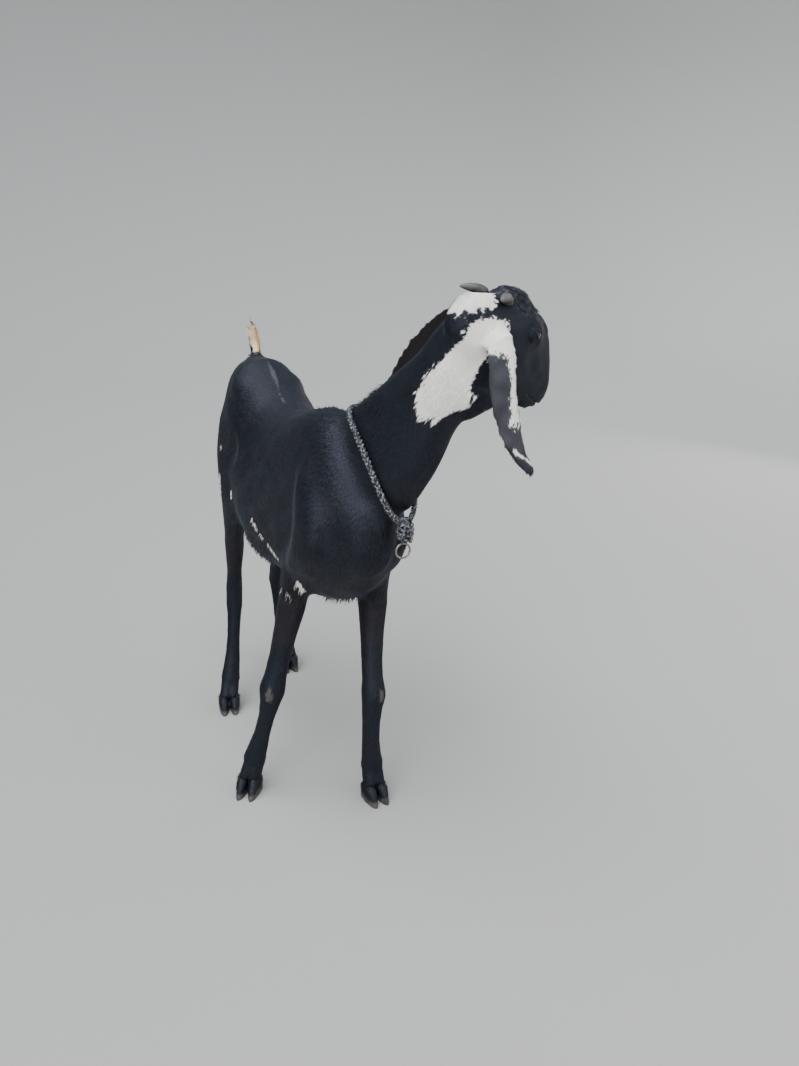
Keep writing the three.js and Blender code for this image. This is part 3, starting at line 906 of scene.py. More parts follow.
class RegionReader:
    """Says which CAD node of flesh a place is nearest to."""

    def __init__(self, names: Sequence[str]) -> None:
        """Gathers the nodes' triangles."""
        corners, faces, owners = [], [], []
        for name in names:
            mesh = bpy.data.objects[name].data
            start = len(corners)
            corners.extend(v.co.copy() for v in mesh.vertices)
            faces.extend([start + i for i in polygon.vertices] for polygon in mesh.polygons)
            owners.extend([name] * len(mesh.polygons))
        self.owners = np.array(owners)
        self.tree = BVHTree.FromPolygons(corners, faces)

    def read(self, points: np.ndarray) -> np.ndarray:
        """Returns the nearest node's name for each point."""
        return self.owners[nearest(self.tree, points)[2]]


def by_part(region: np.ndarray, table: dict[str, float]) -> np.ndarray:
    """Returns a number for each place by the part of the goat that its region belongs to."""
    values = np.full(len(region), table["trunk"])
    for part, value in table.items():
        values[np.char.find(region, part) >= 0] = value
    return values


def evened(skin: bpy.types.Object, values: np.ndarray, passes: int) -> np.ndarray:
    """Returns a number for each vertex, blended over its neighbours a few times."""
    edges = rows_of(skin.data.edges, "vertices", 2, np.int64)
    count = np.maximum(np.bincount(edges.ravel(), minlength=len(values)), 1)
    for _ in range(passes):
        total = np.bincount(edges[:, 0], values[edges[:, 1]], len(values))
        total += np.bincount(edges[:, 1], values[edges[:, 0]], len(values))
        values = 0.5 * values + 0.5 * total / count
    return values


# every table of the flesh gives its numbers for these parts, a later one over an earlier
PARTS = ("trunk", "head", "neck", "tail", "ear", "leg", "upper_leg")


@dataclass
class Skin:
    """One closed skin over the whole goat, inside the solids by the depth of the coat."""

    voxel: float = 4.3  # millimetres
    # swells the flesh before it is joined, so that its parting cuts close and thin edges last
    growth: tuple[float, ...] = (1.0, 1.0, 1.0, 1.2, 2.3, 1.2)
    coat_depth: tuple[float, ...] = (0.4, 0.9, 0.9, 1.0, 0.2, -0.3, -0.6)
    rounds: tuple[float, ...] = (1.0, 0.05, 0.5, 0.03, 0.03, 0.05, 0.2)
    nostril: Triple = (193.0, 14.0, -46.0)
    mouth_z: float = -79.0
    calluses: tuple[Fleck, ...] = (
        Fleck((-67, 48, 217), (-71, 46, 200), 6.5),
        Fleck((118, -21, 222), (118, -25, 206), 5.5),
    )
    swells: tuple[Swell, ...] = (
        *both_sides((118, 17, 6), (60, 9, 30), 1.8),
        *both_sides((104, 36, -42), (30, 14, 14), -2.2),
        *both_sides((40, 40, -84), (30, 20, 26), 2.5),
        *both_sides((130, 26, -52), (34, 12, 12), -1.8),
        *both_sides((178, 20, -56), (16, 10, 12), 1.6),
        Swell((204, 0, -56), (14, 5, 22), -1.6, True),
        # shoulder blade, point of the shoulder and elbow, on each side
        Swell((-12, 10, 600), (26, 40, 90), 4.0),
        Swell((128, -10, 600), (26, 40, 90), 4.0),
        Swell((-6, 48, 455), (30, 30, 34), 4.0),
        Swell((118, 40, 455), (30, 30, 34), 4.0),
        # hollow flank, hip bones and pin bones
        Swell((-62, 352, 590), (34, 42, 46), -9.0),
        Swell((118, 352, 590), (34, 42, 46), -9.0),
        Swell((-38, 412, 706), (34, 38, 30), 6.0),
        Swell((66, 412, 706), (34, 38, 30), 6.0),
        # cleft under the tail between the rounded buttocks
        Swell((8, 550, 600), (12, 60, 150), -9.0),
        Swell((-34, 548, 640), (26, 40, 90), 3.5),
        Swell((50, 548, 640), (26, 40, 90), 3.5),
        # knees
        Swell((-67, 62, 209), (30, 34, 36), 2.2),
        Swell((117, -10, 213), (30, 34, 36), 2.2),
        # backbone, in a low ridge
        Swell((44, 200, 690), (12, 190, 26), 2.5),
        Swell((24, 390, 724), (12, 110, 24), 2.5),
    )

    def build(self, eyes: Sequence[EyeShape]) -> bpy.types.Object:
        """Makes the skin, with its marks and regions, round the eyes that its lids close over."""
        names = flesh_names()
        # the balls fill their sockets, so that the skin closes over them before the lids are opened
        skin = merged_copy([*names, *(f"eye_{side}" for side in SIDES)], "skin")
        self.regions = RegionReader(names)
        growth = dict(zip(PARTS, self.growth))
        region = self.regions.read(vertices_of(skin) - normals_of(skin) * 0.2 * MM)
        move_vertices(skin, vertices_of(skin) + normals_of(skin) * by_part(region, growth)[:, None] * MM)
        apply_modifier(skin, "REMESH", mode="VOXEL", voxel_size=self.voxel * MM, use_smooth_shade=True)
        region = self.regions.read(vertices_of(skin))
        self.soften(skin, region)
        # the skin moves in by its growth and the depth of the coat, evened out over the joins
        depth = by_part(region, dict(zip(PARTS, self.coat_depth))) + by_part(region, growth) * 0.8
        depth = evened(skin, depth, 8)
        move_vertices(skin, vertices_of(skin) - normals_of(skin) * depth[:, None] * MM)
        self.refine(skin, eyes)
        bare = self.sculpt(skin, eyes)
        self.close_up(skin, bare)
        return skin

    def soften(self, skin: bpy.types.Object, region: np.ndarray) -> None:
        """Rounds off the solids' facets and joins, most on the trunk and least on the face."""
        group = skin.vertex_groups.new(name="soften")
        weights = np.round(evened(skin, by_part(region, dict(zip(PARTS, self.rounds))), 7), 2)
        for weight in np.unique(weights):
            group.add([int(i) for i in np.flatnonzero(weights == weight)], float(weight), "REPLACE")
        apply_modifier(skin, "SMOOTH", factor=0.5, iterations=110, vertex_group=group.name)
        skin.vertex_groups.clear()

    def refine(self, skin: bpy.types.Object, eyes: Sequence[EyeShape]) -> None:
        """Subdivides the face, and the skin round the eyes, nostrils and mouth once more."""
        nose_middle = HEAD.world((190, 0, -60))
        for reach_eye, reach_nose in ((30 * MM, 62 * MM), (21 * MM, 30 * MM), (17.5 * MM, 0.0)):
            centres = rows_of(skin.data.polygons, "center", 3)
            chosen = np.linalg.norm(centres - nose_middle, axis=1) < reach_nose
            for eye in eyes:
                chosen |= np.linalg.norm(centres - eye.middle, axis=1) < reach_eye
            with editing(skin, "DESELECT"):
                pass
            skin.data.polygons.foreach_set("select", chosen)
            bpy.ops.object.mode_set(mode="EDIT")
            bpy.ops.mesh.subdivide(number_cuts=1, smoothness=0.6)
            bpy.ops.object.mode_set(mode="OBJECT")

    def sculpt(self, skin: bpy.types.Object, eyes: Sequence[EyeShape]) -> np.ndarray:
        """Raises muscles and bones, opens the nostrils and the mouth line, and draws the lids.

        Args:
            skin: The skin, which it moves.
            eyes: The eyes that the lids close round.

        Returns:
            How bare of hair each vertex is.
        """
        points = vertices_of(skin)
        normals = normals_of(skin)
        rise = sum(swell.rise(points) for swell in (*self.swells, *self.fetlocks()))
        points = points + normals * rise[:, None]
        bare = np.zeros(len(points))
        for sign in SIDES.values():
            mirror = np.array([1.0, sign, 1.0])
            own = HEAD.local(points) - np.array(self.nostril) * mirror
            slant = unit(np.array([-0.62, 0.30, 0.62]) * mirror)
            along = own @ slant
            across = np.linalg.norm(own - along[:, None] * slant, axis=1)
            comma = np.sqrt((along / 8.0) ** 2 + (across / 2.8) ** 2)
            points = points - normals * (np.clip(1.2 - comma, 0, 1)[:, None] ** 0.7) * 6.0 * MM
            rim = np.exp(-(((comma - 1.5) / 0.3) ** 2))
            points = points + normals * rim[:, None] * 0.9 * MM
            bare = np.maximum(bare, 1 - smooth_step(comma, 1.5, 2.1))
        own = HEAD.local(points)
        gap = np.abs(own[:, 2] - self.mouth_z)
        lips = smooth_step(own[:, 0], 148, 160) * (own[:, 2] < -60)
        groove = np.clip(1 - gap / 2.6, 0, 1) * lips
        swell = np.exp(-(((gap - 4.5) / 2.2) ** 2)) * lips
        points = points + normals * (swell * 0.9 - groove * 3.2)[:, None] * MM
        bare = np.maximum(bare, groove)
        for eye in eyes:
            points, lined = eye.fit_lids(points)
            bare = np.maximum(bare, lined)
        move_vertices(skin, points)
        return bare

    def fetlocks(self) -> list[Swell]:
        """Returns the round swell of each leg's lowest joint, just ahead of its dewclaws."""
        swells = []
        for leg in LEGS:
            ends = [np.array(end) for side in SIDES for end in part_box(f"{leg}_dewclaw_{side}")]
            middle = to_goat(sum(ends, np.zeros(3)) / len(ends))
            swells.append(Swell(tuple(middle + np.array([0.0, -14.0, 2.0])), (30.0, 34.0, 30.0), 3.0))
        return swells

    def close_up(self, skin: bpy.types.Object, bare: np.ndarray) -> None:
        """Writes the marks and the bare places, and shades the skin smooth."""
        points = vertices_of(skin)
        marks = Markings().read(points, self.regions.read(points))
        marks["tint"] = 0.45 + 0.3 * ripple(points, 0.02)
        marks["bare"] = bare
        marks["callus"] = np.max([knee.share(points) for knee in self.calluses], axis=0)
        for name, share in marks.items():
            write_attribute(skin.data, name, share)
        shade_smooth(skin)


# ---------------------------------------------------------------- eyes, horns and hooves
@dataclass
class Eyes:
    """Both eyeballs, with iris and level pupil, and the dark wet edges of their lids."""

    shapes: Sequence[EyeShape]
    iris_radius: float = 9.5
    pupil_half: tuple[float, float] = (6.2, 2.0)
    rim_radius: float = 0.6

    def build(self, wet: bpy.types.Material, skin: bpy.types.Material) -> None:
        """Makes the balls and rims and dresses them."""
        for shape in self.shapes:
            finish_piece(self.ball(shape), wet, "eye", f"eye_{shape.side}")
            rim = tube_along(f"lid_rim_{shape.side}", shape.rim(), self.rim_radius * MM, 8)
            for name, value in (("bare", 1.0), ("tint", 0.5)):
                write_attribute(rim.data, name, np.full(len(rim.data.vertices), value))
            finish_piece(rim, skin, "coat")

    def ball(self, shape: EyeShape) -> bpy.types.Object:
        """Makes one eyeball with a slight bulge of the cornea."""
        deselect_all()
        size = {"radius": shape.radius, "location": shape.middle}
        bpy.ops.mesh.primitive_uv_sphere_add(segments=48, ring_count=24, **size)
        ball = settle(bpy.context.object, f"eyeball_{shape.side}")
        points = vertices_of(ball)
        rays = unit(points - shape.middle)
        bulge = 0.55 * MM * smooth_step(rays @ shape.look, 0.72, 0.95)
        move_vertices(ball, points + rays * bulge[:, None])
        shade_smooth(ball)
        apply_modifier(ball, "SUBSURF", levels=1, render_levels=1)
        rays = vertices_of(ball) - shape.middle
        across, up = rays @ shape.corner / MM, rays @ shape.up / MM
        front = rays @ shape.look > 0
        iris = 1 - smooth_step(np.hypot(across, up), 2.0, self.iris_radius)
        slot = (np.abs(across) / self.pupil_half[0]) ** 3 + (np.abs(up) / self.pupil_half[1]) ** 3
        write_attribute(ball.data, "iris", front * iris)
        write_attribute(ball.data, "pupil", front * (1 - smooth_step(slot, 0.8, 1.2)))
        return ball


def section_sides(path: np.ndarray, ahead: np.ndarray, closed: bool) -> np.ndarray:
    """Carries a direction across a path from point to point, with no twist at the seam of a ring."""
    side = np.zeros_like(path)
    first = np.cross(ahead[0], (0.0, 0.0, 1.0))
    side[0] = unit(first if np.linalg.norm(first) > 0.1 else np.cross(ahead[0], (1.0, 0.0, 0.0)))
    for i in range(1, len(path)):
        side[i] = unit(side[i - 1] - ahead[i] * (side[i - 1] @ ahead[i]))
    if not closed:
        return side
    carried = unit(side[-1] - ahead[0] * (side[-1] @ ahead[0]))
    slip = math.atan2(carried @ np.cross(ahead[0], side[0]), carried @ side[0])
    angle = (-slip * np.arange(len(path)) / len(path))[:, None]
    return side * np.cos(angle) + np.cross(ahead, side) * np.sin(angle)


def tube_along(
    name: str, path: np.ndarray, radius: float | np.ndarray, sides: int, closed: bool = True
) -> bpy.types.Object:
    """Sweeps a round section along a path.

    Args:
        name: The new object's name.
        path: The points of the middle line, in metres.
        radius: One radius, or one for each point.
        sides: How many sides the section has.
        closed: Whether the path is a ring.

    Returns:
        The tube, with a UV map named Strand in metres along and round it.
    """
    count = len(path)
    ahead = np.roll(path, -1, axis=0) - np.roll(path, 1, axis=0)
    if not closed:
        ahead[0], ahead[-1] = path[1] - path[0], path[-1] - path[-2]
    ahead = unit(ahead)
    side = section_sides(path, ahead, closed)
    angles = np.linspace(0, 2 * math.pi, sides, endpoint=False)[None, :, None]
    radii = np.broadcast_to(np.asarray(radius, float), (count,))
    reach = np.cos(angles) * side[:, None] + np.sin(angles) * np.cross(ahead, side)[:, None]
    rings = path[:, None] + radii[:, None, None] * reach
    steps = np.linalg.norm(np.diff(path, axis=0, append=path[:1]), axis=1)
    lengths = np.concatenate([[0.0], np.cumsum(steps)])
    turn = 2 * math.pi * float(radii.mean()) / sides
    faces, spots = [], []
    for i in range(count if closed else count - 1):
        here, there = i * sides, (i + 1) % count * sides
        for k in range(sides):
            m = (k + 1) % sides
            faces.append((here + k, here + m, there + m, there + k))
            spots += [lengths[i], k * turn, lengths[i], (k + 1) * turn]
            spots += [lengths[i + 1], (k + 1) * turn, lengths[i + 1], k * turn]
    if not closed:
        faces.append(tuple(reversed(range(sides))))
        faces.append(tuple((count - 1) * sides + k for k in range(sides)))
        spots += [0.0] * (4 * sides)
    mesh = bpy.data.meshes.new(name)
    mesh.from_pydata(rings.reshape(-1, 3).tolist(), [], faces)
    mesh.uv_layers.new(name="Strand").data.foreach_set("uv", spots)
    mesh.update()
    tube = new_object(name, mesh)
    shade_smooth(tube)
    with editing(tube):
        bpy.ops.mesh.normals_make_consistent(inside=False)
    return tube


@dataclass
class Horns:
    """Two short horns that lean back from the poll, ringed where they grow."""

    voxel: float = 1.1
    ring: float = 4.2
    relief: float = 0.45

    def build(self, keratin: bpy.types.Material) -> None:
        """Makes both horns from the nodes' shapes and dresses them."""
        for side, sign in SIDES.items():
            name = f"horn_{side}"
            horn = rounded_copy(name, f"{name}_ringed", self.voxel, 8)
            points = vertices_of(horn)
            root = HEAD.world((22, 17 * sign, -8))
            reach = HEAD.world((-14, 39 * sign, -9)) - root
            along = (points - root) @ reach / (reach @ reach)
            length = np.linalg.norm(reach) / MM
            rings = np.abs(np.sin(math.pi * along * length / self.ring + ripple(points, 0.02)))
            rise = self.relief * (rings - 0.5) * (1 - smooth_step(along, 0.3, 0.8))
            move_vertices(horn, points + normals_of(horn) * rise[:, None] * MM)
            write_attribute(horn.data, "along", np.clip(along, 0, 1))
            shade_smooth(horn)
            finish_piece(horn, keratin, "horn", name)


@dataclass
class Hooves:
    """Two claws and two dewclaws on each foot."""

    claw_voxel: float = 1.5
    dewclaw_voxel: float = 0.9
    ring: float = 2.6

    def build(self, keratin: bpy.types.Material) -> None:
        """Rounds the nodes' shapes, keeps the soles flat and dresses them."""
        for leg in LEGS:
            for side in SIDES:
                self.claw(f"{leg}_claw_{side}", self.claw_voxel, keratin)
                self.claw(f"{leg}_dewclaw_{side}", self.dewclaw_voxel, keratin)

    def claw(self, node: str, voxel: float, keratin: bpy.types.Material) -> None:
        """Makes one claw from its node."""
        low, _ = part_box(node)
        grounded = low.z < 1 * MM
        claw = rounded_copy(node, f"{node}_horn", voxel, 5)
        points = vertices_of(claw)
        sole = points[:, 2] < low.z + 1.3 * MM
        if grounded:
            points[sole, 2] = float(low.z) + 0.1 * MM
        wave = 0.22 * np.sin(points[:, 2] / MM * 2 * math.pi / self.ring + ripple(points, 0.02))
        drawn = 2.6 * smooth_step(points[:, 2] / MM, 24.0, 42.0) * grounded
        points += normals_of(claw) * (wave * ~sole - drawn)[:, None] * MM
        move_vertices(claw, points)
        height = points[:, 2] / MM + 3 * ripple(points, 0.012)
        write_attribute(claw.data, "haired", smooth_step(height, BARE_CLAW - 2, BARE_CLAW + 2))
        shade_smooth(claw)
        finish_piece(claw, keratin, "hoof", node)


# ---------------------------------------------------------------- the collar
@dataclass
class Collar:
    """A rope collar: three strands plaited into a loop, a knot at the throat and two steel rings."""

    high: Triple = (82.0, 33.0, 721.0)
    low: Triple = (114.0, -117.0, 566.0)
    side: Triple = (0.93, 0.34, -0.14)
    half: float = 47.0
    bow: float = 23.0
    lean: float = -0.25
    offset: float = -3.5
    strand: float = 2.5
    spread: tuple[float, float] = (3.1, 1.9)
    plaits: int = 29
    points: int = 380
    knot_at: Triple = (115.0, -122.0, 556.0)
    knot_turns: float = 4.4
    ring_radius: float = 12.0
    wire: float = 1.6

    def line(self) -> np.ndarray:
        """Returns the middle line of the rope as points in metres, from the knot round the neck."""
        angles = np.linspace(0, 2 * math.pi, self.points, endpoint=False)[:, None]
        high, low = np.array(self.high), np.array(self.low)
        rise = (high - low) / 2
        side = unit(np.array(self.side))
        sine = np.sin(angles)
        points = (high + low) / 2 - np.cos(angles) * rise
        points = points + side * (self.half * sine + self.offset * sine**2)
        bow = np.cross(side, unit(rise)) * self.bow
        return place(points + bow * sine**2 * (1 + self.lean * sine))

    def build(self, cord: bpy.types.Material, steel: bpy.types.Material) -> None:
        """Makes the plait, the knot and the rings."""
        finish_piece(self.plait(), cord, "rope", "collar_rope")
        finish_piece(self.knot(), cord, "rope", "collar_knot")
        for number, turn in ((1, 5), (2, 70)):
            self.ring(f"collar_ring_{number}", math.radians(turn), steel)

    def plait(self) -> bpy.types.Object:
        """Weaves three strands round the loop and joins them."""
        line = self.line()
        ahead = unit(np.roll(line, -1, axis=0) - np.roll(line, 1, axis=0))
        inner = unit(line.mean(axis=0) - line)
        inner = unit(inner - ahead * (inner * ahead).sum(axis=1, keepdims=True))
        across = np.cross(ahead, inner)
        strands = []
        for number in range(3):
            angle = np.linspace(0, 2 * math.pi * self.plaits, self.points, endpoint=False)
            angle = (angle + number * 2 * math.pi / 3)[:, None]
            path = line + across * self.spread[0] * np.sin(angle) * MM
            path = path + inner * self.spread[1] * np.sin(2 * angle) * MM
            strands.append(tube_along(f"strand_{number}", path, self.strand * MM, 10))
        return joined("collar_plait", strands)

    def knot(self) -> bpy.types.Object:
        """Winds the knot: turns of strand round a short core, and two cut ends."""
        middle = place(self.knot_at)
        t = np.linspace(0, 1, 150)
        angle = 2 * math.pi * self.knot_turns * t
        girth = 9.0 + 2.6 * np.sin(math.pi * t)
        height = (0.5 - t) * 32 + 1.2 * np.sin(angle)
        coil = np.stack([girth * np.cos(angle), (girth - 0.6) * np.sin(angle), height], axis=1)
        turns = [tube_along("knot_coil", middle + coil * MM, 3.2 * MM, 10, closed=False)]
        s = np.linspace(0, 1, 24)[:, None]
        for lean in (-0.9, 0.5):
            hang = s * np.array([lean * 9, -4.5, -31.0])
            path = np.array([0.0, -6.0, 15.0]) + hang + np.sin(math.pi * s) * np.array([lean * 4, -6.2, 0])
            girth = (3.0 - 0.6 * s[:, 0]) * MM
            turns.append(tube_along("knot_end", middle + path * MM, girth, 10, closed=False))
        return joined("collar_knot_wound", turns)

    def ring(self, node: str, turn: float, steel: bpy.types.Material) -> None:
        """Makes a smooth round ring in the place of its faceted node."""
        low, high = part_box(node)
        deselect_all()
        bpy.ops.mesh.primitive_torus_add(
            location=(low + high) / 2,
            rotation=(math.pi / 2, 0, turn),
            major_radius=self.ring_radius * MM,
            minor_radius=self.wire * MM,
            major_segments=72,
            minor_segments=16,
        )
        ring = settle(bpy.context.object, f"{node}_wire")
        shade_smooth(ring)
        finish_piece(ring, steel, "ring_steel", node)


# ---------------------------------------------------------------- the coat
class Lie(Enum):
    """The way that a patch of long hair lies: how far it bends, and how its weight draws it down."""

    WAVED = (0.45, 0.04)
    CURLED = (0.85, 0.04)
    HANGING = (0.25, 0.35)


@dataclass(frozen=True)
class Growth:
    """How hair grows on a part: roots to a square centimetre, and each tuft's size in millimetres."""

    part: str
    density: float
    length: float
    width: float
    lift: float  # degrees off the skin


@dataclass(frozen=True)
class Tress:
    """A place where the tufts are longer and stand out more, in the goat's own frame."""

    at: Triple
    radii: Triple
    longer: float
    lift: float

    def reach(self, points: np.ndarray) -> np.ndarray:
        """Returns how much each point takes part, from 0 to 1."""
        away = (((to_goat(points) - np.array(self.at)) / np.array(self.radii)) ** 2).sum(axis=1)
        return np.clip(1 - away, 0, 1)


@dataclass(frozen=True)
class Locks:
    """A patch of long locks over the tufts: how many, each one's size, and the way it lies."""

    name: str
    node: str
    bones: str
    at: Triple
    radii: Triple
    lift: float
    count: int
    length: float
    width: float
    lie: Lie


@dataclass(frozen=True)
class Strand:
    """One hair's mesh: its triangles, and each corner's place in its patch of the bake map."""

    triangles: Sequence[tuple[int, int, int]]
    spots: Sequence[tuple[float, float]]


@dataclass
class Roots:
    """Where hairs stand, the surface's normals there and how bare it is, and the hairs' lie and marks."""

    at: np.ndarray
    normals: np.ndarray
    bare: np.ndarray
    tree: BVHTree
    flow: np.ndarray | None = None
    marks: dict[str, np.ndarray] = field(default_factory=dict)

    def keep(self, chosen: np.ndarray) -> None:
        """Drops the roots that aren't chosen."""
        self.at, self.normals, self.bare = self.at[chosen], self.normals[chosen], self.bare[chosen]

    def over(self, points: np.ndarray, least: float | np.ndarray) -> tuple[np.ndarray, np.ndarray]:
        """Lifts points to a least height in metres over the surface, and returns its normals there too."""
        spots, out, _ = nearest(self.tree, points)
        gap = ((points - spots) * out).sum(axis=1)
        return points + out * np.maximum(0.0, least - gap)[:, None], out


def node_axis(name: str, down: bool = True) -> Bone:
    """Returns a node's middle line from its top to its bottom, or the other way."""
    points = np.array([v.co for v in bpy.data.objects[name].data.vertices])
    low, high = points[:, 2].min(), points[:, 2].max()
    band = 0.25 * (high - low)
    top = points[points[:, 2] > high - band].mean(axis=0)
    bottom = points[points[:, 2] < low + band].mean(axis=0)
    return (top, bottom) if down else (bottom, top)


class SkinFaces:
    """A piece's triangles, for scattering roots evenly."""

    def __init__(self, skin: bpy.types.Object) -> None:
        """Reads the triangles, their normals and the bare places."""
        mesh = skin.data
        mesh.calc_loop_triangles()
        self.index = rows_of(mesh.loop_triangles, "vertices", 3, np.int32)
        self.points = vertices_of(skin)
        self.normals = normals_of(skin)
        self.bare = np.zeros(len(self.points))
        for name in ("bare", "callus"):
            if name in mesh.attributes:
                self.bare = np.maximum(self.bare, rows_of(mesh.attributes[name].data, "value", 1)[:, 0])
        corners = self.points[self.index]
        self.centres = corners.mean(axis=1)
        cross = np.cross(corners[:, 1] - corners[:, 0], corners[:, 2] - corners[:, 0])
        self.area_cm2 = np.linalg.norm(cross, axis=1) / 2 * 1e4
        self.tree = BVHTree.FromPolygons([Vector(p) for p in self.points], self.index.tolist())

    def scatter(self, chosen: np.ndarray, density: float | np.ndarray, random: np.random.Generator) -> Roots:
        """Scatters roots over some triangles.

        Args:
            chosen: Which triangles to use.
            density: Roots to a square centimetre, one number or one for each triangle.
            random: The source of chance.

        Returns:
            The roots.
        """
        faces = np.flatnonzero(chosen)
        wanted = (self.area_cm2 * density)[faces]
        number = np.floor(wanted + random.random(len(faces))).astype(int)
        owner = np.repeat(faces, number)
        a, b = random.random(len(owner)), random.random(len(owner))
        over = a + b > 1
        a[over], b[over] = 1 - a[over], 1 - b[over]
        weights = np.stack([1 - a - b, a, b], axis=1)[:, :, None]
        corners = self.index[owner]
        at = (self.points[corners] * weights).sum(axis=1)
        normals = unit((self.normals[corners] * weights).sum(axis=1))
        return Roots(at, normals, (self.bare[corners] * weights[:, :, 0]).sum(axis=1), self.tree)


class SkinUnwrap:
    """An unwrap of the skin's own shape, on a coarse copy, that gives every root its place."""

    def __init__(self, skin: bpy.types.Object, voxel: float = 12 * MM) -> None:
        """Makes the coarse copy, unwraps it and indexes its triangles."""
        coarse = new_object("unwrap", skin.data.copy())
        apply_modifier(coarse, "REMESH", mode="VOXEL", voxel_size=voxel)
        with editing(coarse):
            bpy.ops.mesh.quads_convert_to_tris()
            bpy.ops.uv.smart_project(angle_limit=math.radians(66), island_margin=0.004)
        mesh = coarse.data
        self.uv = rows_of(mesh.uv_layers.active.data, "uv", 2).reshape(-1, 3, 2)
        faces = [list(polygon.vertices) for polygon in mesh.polygons]
        points = [vertex.co.copy() for vertex in mesh.vertices]
        self.corners = np.array(points)[np.array(faces)]
        self.tree = BVHTree.FromPolygons(points, faces)
        bpy.data.objects.remove(coarse)

    def read(self, points: np.ndarray) -> np.ndarray:
        """Returns each point's place on the unwrap."""
        spot, _, face = nearest(self.tree, points)
        a, b, c = (self.corners[face, i] for i in range(3))
        ab, ac, ap = b - a, c - a, spot - a
        d00, d01, d11 = (ab * ab).sum(1), (ab * ac).sum(1), (ac * ac).sum(1)
        d20, d21 = (ap * ab).sum(1), (ap * ac).sum(1)
        scale = np.maximum(d00 * d11 - d01 * d01, 1e-18)
        v = (d11 * d20 - d01 * d21) / scale
        w = (d00 * d21 - d01 * d20) / scale
        weights = np.stack([1 - v - w, v, w], axis=1)
        return (self.uv[face] * weights[:, :, None]).sum(axis=1)


